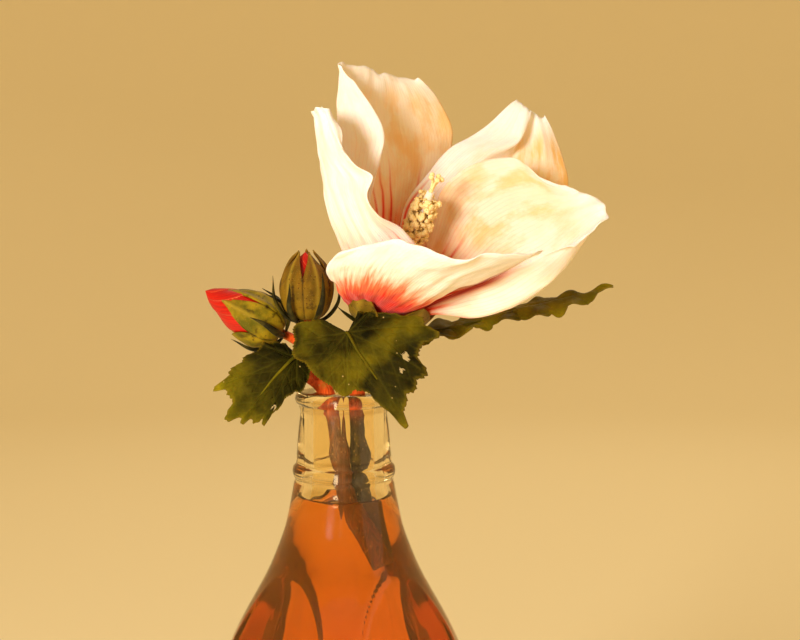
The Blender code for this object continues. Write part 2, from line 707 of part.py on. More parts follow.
# A leaf's petiole and midrib are lines, and its outline is a list of (direction from the midrib in
# degrees, reach as a share of the midrib's length), all round the top of the petiole. Its halves
# bend by so many mm at 10 mm from the midrib.
LEAVES = {
    "front_leaf": {
        "petiole": [(4.5, 0.0, 201.8), (2.6, -5.5, 203.0), (1.0, -11.0, 205.6)],
        "midrib": [(1.4, -15.0, 208.2), (4.4, -17.4, 203.4), (9.8, -17.6, 195.4), (18.2, -15.0, 180.6)],
        "outline": [
            (-150, 0.24),
            (-126, 0.47),
            (-100, 0.50),
            (-64, 0.45),
            (-33, 0.55),
            (-17, 0.53),
            (-8, 0.70),
            (0, 1.02),
            (7, 0.80),
            (18, 0.76),
            (31, 0.76),
            (43, 0.64),
            (56, 0.80),
            (66, 0.68),
            (78, 0.40),
            (97, 0.26),
            (118, 0.20),
        ],
        "facing": (-0.12, -0.98, 0.15),
        "bends": (0.4, 0.3),
        "fold": 0.08,
        "wave": 1.2,
    },
    "left_leaf": {
        "petiole": [(-12.6, -2.6, 196.6), (-12.6, -4.2, 198.6)],
        "midrib": [(-13.2, -6.0, 200.2), (-17.4, -8.4, 196.8), (-23.2, -9.2, 190.0), (-30.2, -8.6, 181.6)],
        "outline": [
            (-100, 0.14),
            (-60, 0.40),
            (-46, 0.56),
            (-36, 0.72),
            (-26, 1.02),
            (-19, 0.88),
            (-6, 1.08),
            (3, 0.98),
            (11, 0.88),
            (18, 0.86),
            (25, 0.64),
            (34, 0.48),
            (51, 0.44),
            (84, 0.24),
            (110, 0.16),
        ],
        "facing": (-0.15, -0.95, 0.3),
        "bends": (1.2, -0.4),
        "fold": 0.05,
        "wave": 0.8,
    },
    "right_leaf": {
        "petiole": [(9.4, 4.6, 200.6), (11.6, 5.6, 203.6)],
        "midrib": [(15.0, 6.0, 205.2), (30.0, 6.0, 207.4), (50.0, 5.0, 212.6), (76.0, 3.0, 219.4)],
        "outline": [
            (-105, 0.12),
            (-62, 0.34),
            (-36, 0.40),
            (-20, 0.44),
            (-8, 0.62),
            (0, 1.0),
            (8, 0.62),
            (20, 0.44),
            (36, 0.40),
            (62, 0.34),
            (105, 0.12),
        ],
        "facing": (0.05, -0.12, 1.0),
        "bends": (-0.9, -0.6),
        "fold": 0.06,
        "wave": 1.6,
    },
}


# --- the whole -----------------------------------------------------------------------------

make_bottle()
twigs = [
    make_twig("flower_twig", FLOWER_TWIG_ROUTE, FLOWER_TWIG_RADIUS, (171, 201)),
    make_twig("bud_twig", BUD_TWIG_ROUTE, BUD_TWIG_RADIUS, (172, 196), BUD_STALKS),
]
make_water(twigs)
make_flower()
make_buds()
for leaf_name, leaf_shape in LEAVES.items():
    make_leaf(leaf_name, leaf_shape)
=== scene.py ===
"""A hibiscus sprig in a glass bottle of water, as it looks.

Two cut twigs stand in a moulded bottle of tinted water. One carries an open flower, the other two
buds, and three leaves hang from them. Every piece stands for CAD nodes of the same shape.
"""

import math

import bmesh
import bpy
import numpy as np
from mathutils import Matrix, Vector


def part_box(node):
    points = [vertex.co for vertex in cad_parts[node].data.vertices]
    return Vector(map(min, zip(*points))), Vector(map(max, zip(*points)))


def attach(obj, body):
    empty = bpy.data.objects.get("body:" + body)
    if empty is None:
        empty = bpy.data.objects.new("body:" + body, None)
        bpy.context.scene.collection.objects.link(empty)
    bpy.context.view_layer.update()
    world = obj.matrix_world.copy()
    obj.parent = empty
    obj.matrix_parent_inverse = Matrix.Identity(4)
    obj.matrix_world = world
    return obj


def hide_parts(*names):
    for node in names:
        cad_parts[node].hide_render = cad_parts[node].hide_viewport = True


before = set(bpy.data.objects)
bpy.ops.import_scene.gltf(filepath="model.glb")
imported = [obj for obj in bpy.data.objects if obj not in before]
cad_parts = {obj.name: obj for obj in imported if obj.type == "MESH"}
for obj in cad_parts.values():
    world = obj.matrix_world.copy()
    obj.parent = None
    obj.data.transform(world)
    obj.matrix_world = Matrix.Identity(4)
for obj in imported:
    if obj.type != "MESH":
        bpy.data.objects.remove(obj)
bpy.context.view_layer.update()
MM = 0.001

# Places read from the frame, which the pieces are built from.
LIP_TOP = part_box("bottle")[1].z
BODY_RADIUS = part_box("bottle")[1].x
WATER_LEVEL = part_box("water")[1].z


# --- nodes for finishes and shapes ---------------------------------------------------------


def operator(operation, swapped=False):
    """A method for one sign of arithmetic, which adds a Math node."""

    def apply(socket, value):
        return socket.nodes.maths(operation, *((value, socket) if swapped else (socket, value)))

    return apply


def spaced(values):
    """Keyword names with spaces for their underscores, as sockets are named."""
    return {name.replace("_", " "): value for name, value in values.items()}


class Socket:
    """A node's output. Arithmetic on it adds Math nodes to its tree."""

    __add__, __radd__ = operator("ADD"), operator("ADD", swapped=True)
    __sub__, __rsub__ = operator("SUBTRACT"), operator("SUBTRACT", swapped=True)
    __mul__, __rmul__ = operator("MULTIPLY"), operator("MULTIPLY", swapped=True)
    __truediv__, __rtruediv__ = operator("DIVIDE"), operator("DIVIDE", swapped=True)
    __pow__ = operator("POWER")
    __lt__ = operator("LESS_THAN")

    def __init__(self, nodes, source):
        self.nodes = nodes
        self.source = source

    def maths(self, operation, *others):
        return self.nodes.maths(operation, self, *others)

    def __abs__(self):
        return self.maths("ABSOLUTE")

    def __neg__(self):
        return self * -1.0

    def clamped(self):
        return self.maths("MAXIMUM", 0.0).maths("MINIMUM", 1.0)

    def rise(self, start, end):
        """Nought before start, one after end, with a smooth step between them."""
        reach = {"Value": self, "From Min": start, "From Max": end}
        return self.nodes.node("ShaderNodeMapRange", {"interpolation_type": "SMOOTHSTEP"}, reach)

    def fall(self, start, end):
        return 1.0 - self.rise(start, end)

    def bump(self, width):
        """One at nought, fading to nought a few widths away."""
        return self.nodes.maths("EXPONENT", -((self / width) ** 2.0))


class Nodes:
    """A node tree that is built up from Python."""

    def __init__(self, tree):
        self.tree = tree

    def node(self, kind, settings=(), sockets=(), output=0):
        """Adds a node, first its settings, such as a ramp's stops, then the values or links of its
        sockets. A list of links goes into one socket."""
        made = self.tree.nodes.new(kind)
        for name, value in dict(settings).items():
            if name == "stops":
                self.set_stops(made.color_ramp.elements, value)
            else:
                setattr(made, name, value)
        for name, value in dict(sockets).items():
            for part in value if isinstance(value, list) else [value]:
                if isinstance(part, Socket):
                    self.tree.links.new(part.source, made.inputs[name])
                else:
                    made.inputs[name].default_value = part
        return Socket(self, made.outputs[output]) if made.outputs else made

    @staticmethod
    def set_stops(elements, stops):
        """Each stop is its place and its colour."""
        while len(elements) < len(stops):
            elements.new(1.0)
        for element, (place, colour) in zip(elements, stops):
            element.position = place
            element.color = shade(colour)

    def maths(self, operation, *values):
        return self.node("ShaderNodeMath", {"operation": operation}, dict(enumerate(values)))

    def scaled(self, vector, share):
        return self.node("ShaderNodeVectorMath", {"operation": "SCALE"}, {0: vector, "Scale": share})

    def join(self, x, y, z):
        return self.node("ShaderNodeCombineXYZ", (), {0: x, 1: y, 2: z})

    def split(self, place):
        parts = self.node("ShaderNodeSeparateXYZ", (), {0: place}).source.node.outputs
        return tuple(Socket(self, part) for part in parts)

    def turned(self, angle, radius, z):
        """The place at an angle round Z."""
        return self.join(angle.maths("COSINE") * radius, angle.maths("SINE") * radius, z)

    def noise(self, place, scale, detail=3.0):
        """Noise between nought and one. Its cells are about 1/scale metres apart."""
        sockets = {"Vector": place, "Scale": scale, "Detail": detail, "Roughness": 0.55}
        return self.node("ShaderNodeTexNoise", (), sockets)

    def cells(self, place, scale):
        """How far each place is from the nearest of many scattered points."""
        return self.node("ShaderNodeTexVoronoi", (), {"Vector": place, "Scale": scale})


class Finish(Nodes):
    """A material with one Principled shader. Colours are (red, green, blue) of 0 to 255."""

    def __init__(self, name, **constants):
        self.material = bpy.data.materials.new(name)
        self.material.use_nodes = True
        super().__init__(self.material.node_tree)
        self.tree.nodes.clear()
        shader = self.node("ShaderNodeBsdfPrincipled", (), spaced(constants))
        self.output = self.node("ShaderNodeOutputMaterial", (), {"Surface": shader})
        self.shader = shader.source.node

    def place(self):
        return self.node("ShaderNodeTexCoord", (), (), "Object")

    def attribute(self, name):
        return self.node("ShaderNodeAttribute", {"attribute_name": name}, (), "Fac")

    def mix(self, share, first, second):
        sockets = {0: share, 6: shade(first), 7: shade(second)}
        return self.node("ShaderNodeMix", {"data_type": "RGBA"}, sockets, 2)

    def ramp(self, value, stops):
        return self.node("ShaderNodeValToRGB", {"stops": stops}, {"Fac": value})

    def feed(self, **values):
        """Links what changes over the surface to the shader's sockets."""
        for name, value in spaced(values).items():
            self.tree.links.new(value.source, self.shader.inputs[name])

    def relief(self, height, distance, strength=1.0):
        """A Bump node under the surface's Normal. Distance is the height of one, in metres."""
        sockets = {"Height": height, "Distance": distance, "Strength": strength}
        self.feed(Normal=self.node("ShaderNodeBump", (), sockets))


class Recipe(Nodes):
    """A Geometry Nodes tree whose named inputs are the sizes of one kind of shape."""

    def __init__(self, name, **sizes):
        super().__init__(bpy.data.node_groups.new(name, "GeometryNodeTree"))
        face = self.tree.interface
        face.new_socket("Geometry", in_out="INPUT", socket_type="NodeSocketGeometry")
        for size, value in sizes.items():
            kind = "NodeSocketInt" if isinstance(value, int) else "NodeSocketFloat"
            face.new_socket(size, in_out="INPUT", socket_type=kind).default_value = value
        face.new_socket("Finish", in_out="INPUT", socket_type="NodeSocketMaterial")
        face.new_socket("Geometry", in_out="OUTPUT", socket_type="NodeSocketGeometry")
        self.entry = self.tree.nodes.new("NodeGroupInput")

    def __getitem__(self, name):
        return Socket(self, self.entry.outputs[name])

    def geo(self, kind, **sockets):
        """A geometry node, with the values or links of its sockets."""
        return self.node("GeometryNode" + kind, (), spaced(sockets))

    def random(self, low, high, seed):
        sockets = {2: low, 3: high, "Seed": seed}
        return self.node("FunctionNodeRandomValue", {"data_type": "FLOAT"}, sockets, 1)

    def tube(self, curve, sides, radius):
        ring = self.geo("CurvePrimitiveCircle", Resolution=sides, Radius=radius)
        return self.geo("CurveToMesh", Curve=curve, Profile_Curve=ring, Fill_Caps=True)

    def lathe(self):
        """A grid with a row for each point of the profile and Steps round. Gives the grid, each
        place's share of a turn, and the three numbers of its profile point."""
        steps = self["Steps"]
        across = steps + 1.0
        sheet = self.geo("MeshGrid", Vertices_X=self["Rows"], Vertices_Y=across)
        index = self.geo("InputIndex")
        row = (index / across).maths("FLOOR")
        turn = (index - row * across) / steps
        profile = self.node(
            "GeometryNodeSampleIndex",
            {"data_type": "FLOAT_VECTOR", "domain": "POINT"},
            {"Geometry": self["Geometry"], "Value": self.geo("InputPosition"), "Index": row},
        )
        return sheet, turn, *self.split(profile)

    def serve(self, geometry):
        """Ends the tree, with instances made real and the finish set."""
        real = self.geo("RealizeInstances", Geometry=geometry)
        painted = self.geo("SetMaterial", Geometry=real, Material=self["Finish"])
        self.node("NodeGroupOutput", (), {0: painted})
        return self

    def grow(self, name, data, finish, **sizes):
        """Runs the tree on a mesh and gives back the plain mesh that it makes."""
        holder = stand(name, data)
        modifier = holder.modifiers.new("shape", "NODES")
        modifier.node_group = self.tree
        values = dict(sizes, Finish=finish.material)
        for item in self.tree.interface.items_tree:
            if item.in_out == "INPUT" and item.name in values:
                modifier[item.identifier] = values[item.name]
        bpy.context.view_layer.update()
        graph = bpy.context.evaluated_depsgraph_get()
        made = bpy.data.meshes.new_from_object(
            holder.evaluated_get(graph), preserve_all_data_layers=True, depsgraph=graph
        )
        holder.modifiers.remove(modifier)
        bpy.data.objects.remove(holder)
        return made


# --- lines, sheets and pieces --------------------------------------------------------------


def srgb(red, green, blue):
    """A display colour of 0 to 255 as the shader's linear light."""
    return tuple(
        c / 12.92 if c <= 0.04045 else ((c + 0.055) / 1.055) ** 2.4
        for c in (red / 255, green / 255, blue / 255)
    )


def shade(value):
    """A colour for a socket: a link, or a display colour with full opacity."""
    return value if isinstance(value, Socket) else (*srgb(*value), 1.0)


def smooth_line(points, count):
    """count points at even steps along a smooth curve through the given ones."""
    knots = np.array(points, float)
    steps = np.linalg.norm(np.diff(knots, axis=0), axis=1)
    reach = np.concatenate([[0.0], np.cumsum(steps)])
    slopes = np.gradient(knots, reach, axis=0)
    at = np.linspace(0.0, reach[-1], count)
    i = np.clip(np.searchsorted(reach, at, side="right") - 1, 0, len(steps) - 1)
    h = steps[i][:, None]
    s = ((at - reach[i]) / steps[i])[:, None]
    return (
        (1 + 2 * s) * (1 - s) ** 2 * knots[i]
        + s * (1 - s) ** 2 * h * slopes[i]
        + s * s * (3 - 2 * s) * knots[i + 1]
        + s * s * (s - 1) * h * slopes[i + 1]
    )


def arc(centre, radius, start, end, count):
    angles = np.radians(np.linspace(start, end, count))
    return [(centre[0] + radius * math.cos(a), centre[1] + radius * math.sin(a)) for a in angles]


def mark(data, **attributes):
    """Gives a mesh named attributes, each with one value or a value per point."""
    for name, values in attributes.items():
        layer = data.attributes.new(name, "FLOAT", "POINT")
        layer.data.foreach_set("value", np.broadcast_to(values, len(data.vertices)).astype(np.float32))


def line_mesh(name, *lines):
    """A mesh of loose lines, for a recipe to build on."""
    data = bpy.data.meshes.new(name)
    edges = []
    first = 0
    for line in lines:
        edges += [(first + i, first + i + 1) for i in range(len(line) - 1)]
        first += len(line)
    data.from_pydata([tuple(p) for line in lines for p in line], edges, [])
    return data


def welded(data, distance=1e-6):
    """Merges doubled points and turns every face outwards."""
    mesh = bmesh.new()
    mesh.from_mesh(data)
    bmesh.ops.remove_doubles(mesh, verts=mesh.verts, dist=distance)
    bmesh.ops.dissolve_degenerate(mesh, edges=mesh.edges, dist=1e-8)
    bmesh.ops.recalc_face_normals(mesh, faces=mesh.faces)
    mesh.to_mesh(data)
    mesh.free()
    return data


def joined(name, meshes):
    """Several meshes as one."""
    mesh = bmesh.new()
    for data in meshes:
        mesh.from_mesh(data)
    made = bpy.data.meshes.new(name)
    for material in meshes[0].materials:
        made.materials.append(material)
    mesh.to_mesh(made)
    mesh.free()
    return made


def stand(name, data):
    """Puts an object with this data into the scene."""
    obj = bpy.data.objects.new(name, data)
    bpy.context.scene.collection.objects.link(obj)
    return obj


def piece(name, data, slot, *nodes, finish=None):
    """A finished piece of the object, which stands for CAD nodes and rides on the body."""
    if finish:
        data.materials.clear()
        data.materials.append(finish.material)
    data.shade_smooth()
    obj = stand(name, data)
    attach(obj, "root")
    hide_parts(*nodes)
    return obj


# --- the bottle and its water --------------------------------------------------------------

# Heights and radii in metres. The neck, shoulder and body follow the CAD bottle.
WALL = 3.2 * MM
NECK_RADIUS = 13.7 * MM
BORE_RADIUS = 8.0 * MM
COLLAR = 167.0 * MM
BODY_TOP = 84.0 * MM


def flare_line(count):
    """The outside from under the collar down to the straight body, as (r, z)."""
    return smooth_line(
        [
            (NECK_RADIUS + 0.5 * MM, COLLAR - 1.8 * MM),
            (NECK_RADIUS + 1.5 * MM, COLLAR - 7.5 * MM),
            (NECK_RADIUS + 3.3 * MM, COLLAR - 16.0 * MM),
            (NECK_RADIUS + 6.6 * MM, COLLAR - 25.0 * MM),
            (BODY_RADIUS - 9.1 * MM, 119.0 * MM),
            (BODY_RADIUS - 1.9 * MM, 101.0 * MM),
            (BODY_RADIUS, BODY_TOP),
        ],
        count,
    )


def outside_radius(z):
    flare = flare_line(60)[::-1]
    return float(np.interp(z, flare[:, 1], flare[:, 0]))


def outside_line():
    """The outside of the bottle from its lip down to the middle of its base, as (r, z)."""
    lip = arc((11.9 * MM, LIP_TOP - 2.1 * MM), 2.1 * MM, 90, -62, 16)
    neck = smooth_line(
        [
            (12.95 * MM, LIP_TOP - 4.1 * MM),
            (12.55 * MM, LIP_TOP - 5.2 * MM),
            (12.75 * MM, LIP_TOP - 8.0 * MM),
            (13.15 * MM, LIP_TOP - 12.0 * MM),
            (13.5 * MM, LIP_TOP - 17.0 * MM),
            (13.75 * MM, COLLAR + 2.4 * MM),
        ],
        16,
    )
    ring = [
        (NECK_RADIUS + 1.0 * MM * math.cos(a) ** 0.8 + 0.1 * MM, COLLAR + 1.8 * MM * math.sin(a))
        for a in np.radians(np.linspace(80, -80, 12))
    ]
    body = [(BODY_RADIUS, z) for z in np.linspace(BODY_TOP - 2 * MM, 8 * MM, 44)]
    heel = arc((35.0 * MM, 6.2 * MM), 6.2 * MM, 0, -90, 12)
    hollow_foot = [(33.0, 0.0), (30.0, 0.5), (26.0, 1.3), (14.0, 2.2), (0.0, 2.6)]
    base = [(r * MM, z * MM) for r, z in hollow_foot]
    flare = [tuple(p) for p in flare_line(64)[1:]]
    return lip + [tuple(p) for p in neck] + ring + flare + body + heel + base


def inside_line(gap=0.0):
    """The hollow of the bottle from under its mouth down to its floor, as (r, z)."""
    flare = [
        (BORE_RADIUS, COLLAR),
        (BORE_RADIUS + 0.5 * MM, COLLAR - 7.0 * MM),
        (outside_radius(150 * MM) - 1.3 * WALL, 150 * MM),
        (outside_radius(140 * MM) - WALL, 140 * MM),
        (outside_radius(119 * MM) - WALL, 119 * MM),
        (outside_radius(101 * MM) - WALL, 101 * MM),
        (BODY_RADIUS - WALL, BODY_TOP),
    ]
    line = [(r + gap, z) for r, z in smooth_line(flare, 60)]
    line += [(BODY_RADIUS - WALL + gap, z) for z in np.linspace(BODY_TOP - 2 * MM, 14 * MM, 42)]
    line += arc((BODY_RADIUS - WALL + gap - 7 * MM, 13 * MM - gap), 7 * MM, 0, -90, 10)
    return line + [(26 * MM, 6.3 * MM - gap), (12 * MM, 7.4 * MM - gap), (0.0, 7.7 * MM - gap)]


def moulded_shape():
    """Turns a profile about Z. The profile's points are (r, how far inside the outer wall, z).
    Arched panels are pressed flat round the body, each with a raised rim, and two seams run down
    the outside where the halves of the mould met."""
    r = Recipe(
        "moulded_shape",
        Rows=10,
        Steps=240,
        Panels=4,
        Panel_Top=0.139,
        Panel_Bottom=0.018,
        Arch=0.020,
        Half_Angle=math.radians(33),
        Rim=0.00022,
        Seam=0.00016,
        Unevenness=0.00025,
    )
    sheet, turn, radius, inset, z = r.lathe()
    angle = turn * math.tau
    panel_turn = turn * r["Panels"]
    off = (panel_turn - panel_turn.maths("FLOOR") - 0.5) * math.tau / r["Panels"]
    arch = r["Arch"]
    into_top = (z - (r["Panel_Top"] - arch)) / arch
    into_bottom = (r["Panel_Bottom"] + arch - z) / arch
    into = into_top.maths("MAXIMUM", into_bottom).clamped()
    half = r["Half_Angle"]
    covered = half * (1.0 - into * into).maths("SQRT")
    flat = ((radius + inset) * covered.maths("COSINE") - inset) / off.maths("COSINE")
    pressed = radius.maths("SMOOTH_MIN", flat, 0.0009)
    outer = inset < 0.0001
    to_edge = ((((off / half) ** 2.0) + into * into).maths("SQRT") - 1.0) * half * BODY_RADIUS
    near_panel = z.fall(0.141, 0.146) * z.rise(0.008, 0.014)
    rim = (to_edge - 0.0006).bump(0.0011) * r["Rim"] * near_panel
    quarter = turn * 2.0 - 0.5
    to_seam = abs(quarter - quarter.maths("ROUND")) * math.pi * radius
    seam = to_seam.bump(0.00035) * r["Seam"] * z.rise(0.002, 0.008)
    wave = r.noise(r.turned(angle, radius, z), 32.0, 2.0) - 0.5
    uneven = wave * r["Unevenness"] * (2.6 - 2.0 * outer) * radius.rise(0.003, 0.009)
    pushed = pressed + outer * (rim + seam) + uneven
    shaped = r.geo("SetPosition", Geometry=sheet, Position=r.turned(angle, pushed, z))
    return r.serve(r.geo("MergeByDistance", Geometry=shaped, Distance=2e-5))


def make_glass():
    glass = Finish("clear_glass", Base_Color=shade((255, 240, 198)), Transmission_Weight=1.0, IOR=1.5)
    place = glass.place()
    smudges = glass.noise(place, 60.0, 4.0).rise(0.52, 0.75)
    glass.feed(Roughness=0.015 + smudges * 0.05)
    tall = glass.node("ShaderNodeMapping", (), {"Vector": place, "Scale": (1.0, 1.0, 0.35)})
    glass.relief(glass.noise(tall, 70.0, 2.0), 0.0007, 0.35)
    return glass


def make_water_finish():
    water = Finish(
        "tinted_water", Base_Color=shade((255, 168, 52)), Transmission_Weight=0.9, IOR=1.333, Roughness=0.0
    )
    tint = {"Color": (0.95, 0.52, 0.04, 1.0), "Density": 20.0}
    body = water.node("ShaderNodeVolumeAbsorption", (), tint)
    water.tree.links.new(body.source, water.output.inputs["Volume"])
    water.relief(water.noise(water.place(), 90.0, 1.0), 0.0004, 0.2)
    return water


def make_bottle():
    shape = moulded_shape()
    mouth = arc((BORE_RADIUS + 0.9 * MM, LIP_TOP - 0.9 * MM), 0.9 * MM, 90, 180, 8)
    throat = [(BORE_RADIUS, z) for z in np.linspace(LIP_TOP - 3 * MM, COLLAR + 1 * MM, 12)]
    hollow = (mouth + throat + inside_line())[::-1]
    profile = [(r, WALL, z) for r, z in hollow] + [(r, 0.0, z) for r, z in outside_line()]
    data = shape.grow("bottle_shape", line_mesh("bottle_profile", profile), make_glass(), Rows=len(profile))
    piece("glass_bottle", welded(data), "clear_glass", "bottle")

    wet = inside_line(gap=0.06 * MM)
    radii, heights = np.array(wet)[::-1].T
    edge = float(np.interp(WATER_LEVEL, heights, radii))
    top = [(edge * s, WATER_LEVEL) for s in (0.0, 0.3, 0.55, 0.72)]
    top += [(edge - 1.9 * MM * (1 - s), WATER_LEVEL + 1.1 * MM * s**3) for s in np.linspace(0.1, 1.0, 8)]
    below = [(r, z) for r, z in wet if z < WATER_LEVEL + 0.4 * MM]
    profile = [(r, WALL, z) for r, z in top + below]
    lines = line_mesh("water_profile", profile)
    data = shape.grow("water_shape", lines, make_water_finish(), Rows=len(profile), Steps=200)
    piece("bottle_water", welded(data), "water", "water")


# --- rods, twigs and bracts ----------------------------------------------------------------


def rod_shape():
    """A closed rod along each line of a mesh, as thick as the line's width attribute says. Flat
    makes it a blade, and Bark raises long ridges and small corky dots on it."""
    r = Recipe("rod_shape", Sides=12, Flat=1.0, Bark=0.0, Dots=900.0)
    curve = r.geo("MeshToCurve", Mesh=r["Geometry"])
    width = r.node("GeometryNodeInputNamedAttribute", {"data_type": "FLOAT"}, {"Name": "width"})
    ring = r.geo("CurvePrimitiveCircle", Resolution=r["Sides"], Radius=1.0)
    flat = r.geo("Transform", Geometry=ring, Scale=r.join(1.0, r["Flat"], 1.0))
    rod = r.geo("CurveToMesh", Curve=curve, Profile_Curve=flat, Scale=width, Fill_Caps=True)
    place = r.geo("InputPosition")
    x, y, z = r.split(place)
    ridges = r.noise(r.join(x * 2.2, y * 2.2, z * 0.35), 900.0, 2.0) - 0.5
    lumps = r.noise(place, 320.0, 2.0) - 0.5
    dots = r.cells(r.join(x, y, z * 0.7), r["Dots"]).fall(0.10, 0.24)
    height = (ridges * 0.5 + lumps * 0.9 + dots * 0.28) * r["Bark"]
    return r.serve(r.geo("SetPosition", Geometry=rod, Offset=r.scaled(r.geo("InputNormal"), height)))


ROD = rod_shape()


def rods(name, lines, widths, finish, **sizes):
    data = line_mesh(name, *lines)
    mark(data, width=np.concatenate(widths))
    return ROD.grow(name, data, finish, **sizes)


def make_bark():
    bark = Finish("bark", Specular_IOR_Level=0.35)
    place = bark.place()
    x, y, z = bark.split(place)
    streaks = bark.noise(bark.join(x * 3.0, y * 3.0, z * 0.4), 700.0, 4.0)
    patches = bark.noise(place, 140.0, 3.0)
    dots = bark.cells(bark.join(x, y, z * 0.7), 900.0).fall(0.12, 0.22)
    wet = z.fall(LIP_TOP - 0.012, LIP_TOP + 0.004)
    dry = bark.ramp(streaks, [(0.25, (150, 44, 14)), (0.5, (222, 78, 22)), (0.8, (238, 120, 48))])
    soaked = bark.ramp(streaks, [(0.25, (44, 18, 4)), (0.5, (112, 54, 10)), (0.8, (168, 92, 26))])
    # Painted shadow: near-black bark for a twig that lies in shade under the water. Each twig's own share
    # picks between it and the soaked brown.
    painted_shadow_bark = bark.mix(streaks.rise(0.3, 0.9), (5, 3, 1), (38, 20, 6))
    skin = bark.mix(wet, dry, bark.mix(bark.attribute("steeped"), soaked, painted_shadow_bark))
    green = bark.mix(patches.rise(0.55, 0.75) * 0.55, skin, (112, 98, 26))
    corky = bark.mix(dots * 0.6, green, (196, 158, 96))
    bark.feed(Base_Color=corky, Roughness=0.78 - streaks * 0.3)
    bark.relief(streaks + dots * 0.6, 0.0003, 0.6)
    return bark


# The twigs' lines are (x, y, height from the lip's top), in mm.
FLOWER_TWIG = [
    (8, 1.4, -49), (6.1, 1.6, -38), (4.8, 1.4, -27), (4.1, 1.2, -12), (3.8, 1.4, 0), (4.6, 2.4, 7),
    (6.2, 2.8, 11.5), (7.9, 1.6, 14.4), (9.35, 0.15, 17.75),
]
BUD_TWIG = [
    (9.6, -5.8, -50.5), (6, -4.6, -42.5), (1.2, -2.2, -32), (-0.6, -1.2, -23), (-1.8, -0.8, -14),
    (-3.6, -0.6, -5.5), (-6.2, -0.4, 1.6), (-9.6, -0.2, 5.4), (-9.2, 0.2, 9.6), (-8.2, 0.4, 13),
]
BUD_STALKS = [
    [(-8.2, 0.4, 11.6), (-8.4, -0.6, 15.4), (-9.4, -2.4, 18.4), (-10.2, -3.5, 21.4)],
    [(-9, 0.2, 10.4), (-11.2, 0.8, 13), (-14.6, 2.2, 14.7), (-18.4, 3.3, 16.5)],
]


def above_lip(points):
    return np.array(points, float) * MM + (0.0, 0.0, LIP_TOP)


def twig_widths(line, radius, nodes):
    heights = line[:, 2]
    taper = 1.0 - 0.18 * (heights - heights.min()) / np.ptp(heights)
    swell = sum(0.22 * np.exp(-(((heights - LIP_TOP - z * MM) / (2.2 * MM)) ** 2)) for z in nodes)
    return radius * (taper + swell)


def make_twigs(bark):
    # The last number of each twig is how much painted shadow darkens its bark under the water.
    for name, route, radius, nodes, stalks, depth in (
        ("flower_twig", FLOWER_TWIG, 2.6 * MM, (-19, 11), [], 0.95),
        ("bud_twig", BUD_TWIG, 2.8 * MM, (-18, 6), BUD_STALKS, 0.15),
    ):
        line = smooth_line(above_lip(route), 120)
        widths = twig_widths(line, radius, nodes)
        meshes = [rods(name, [line], [widths], bark, Sides=40, Bark=0.00034)]
        for stalk in stalks:
            line = smooth_line(above_lip(stalk), 40)
            widths = np.linspace(1.5, 1.1, 40) * 1.1 * MM
            meshes.append(rods(name, [line], [widths], bark, Sides=20, Bark=0.00016))
        data = welded(joined(name + "_bark", meshes))
        mark(data, steeped=depth)
        piece(name + "_bark", data, "bark", name)


# --- thin sheets ---------------------------------------------------------------------------


def lattice(u, v, seed):
    """Smooth noise between -1 and 1 over a plane, one random value per unit square's corner."""
    random = np.random.default_rng(seed).uniform(-1, 1, (64, 64))
    i, j = np.floor(u).astype(int), np.floor(v).astype(int)
    a, b = u - i, v - j
    a, b = a * a * (3 - 2 * a), b * b * (3 - 2 * b)

    def pick(over, up):
        return random[(i + over) % 64, (j + up) % 64]

    low = pick(0, 0) * (1 - a) + pick(1, 0) * a
    high = pick(0, 1) * (1 - a) + pick(1, 1) * a
    return low * (1 - b) + high * b


def step(value, start, end):
    share = np.clip((value - start) / (end - start), 0.0, 1.0)
    return share * share * (3 - 2 * share)


def sheet_normals(grid):
    down = np.gradient(grid, axis=0)
    over = np.gradient(grid, axis=1)
    normal = np.cross(over, down)
    length = np.linalg.norm(normal, axis=2)
    normal[0] = normal[1]
    length[0] = length[1]
    return normal / np.maximum(length, 1e-12)[..., None]


def thick_sheet(name, grid, thickness, kept=None, **attributes):
    """A closed sheet round a grid of points. Squares that aren't kept leave holes. Each attribute
    has a value per grid point."""
    rows, columns = grid.shape[:2]
    normal = sheet_normals(grid) * (np.broadcast_to(thickness, (rows, columns)) / 2)[..., None]
    points = np.concatenate([(grid + normal).reshape(-1, 3), (grid - normal).reshape(-1, 3)])
    if kept is None:
        kept = np.ones((rows - 1, columns - 1), bool)
    under = rows * columns
    faces = []
    border = {}
    for i, j in zip(*np.nonzero(kept)):
        ring = [i * columns + j, i * columns + j + 1, (i + 1) * columns + j + 1, (i + 1) * columns + j]
        faces.append(tuple(int(k) for k in ring))
        faces.append(tuple(int(k + under) for k in ring[::-1]))
        for a, b in zip(ring, ring[1:] + ring[:1]):
            border[(a, b)] = border.get((a, b), 0) + 1
    for a, b in border:
        if (b, a) not in border:
            faces.append((int(b), int(a), int(a + under), int(b + under)))
    data = bpy.data.meshes.new(name)
    data.from_pydata([tuple(p) for p in points], [], faces)
    for key, values in attributes.items():
        mark(data, **{key: np.tile(np.broadcast_to(values, (rows, columns)).reshape(-1), 2)})
    mesh = bmesh.new()
    mesh.from_mesh(data)
    loose = [v for v in mesh.verts if not v.link_faces]
    bmesh.ops.delete(mesh, geom=loose, context="VERTS")
    mesh.to_mesh(data)
    mesh.free()
    return welded(data, 2e-6)


# --- the flower ----------------------------------------------------------------------------

LEAN_RIGHT, LEAN_FRONT = 21.0, 22.0


def leaning(right, front, spin=0.0):
    lean = Matrix.Rotation(math.radians(right), 4, "Y") @ Matrix.Rotation(math.radians(front), 4, "X")
    return lean @ Matrix.Rotation(math.radians(spin), 4, "Z")


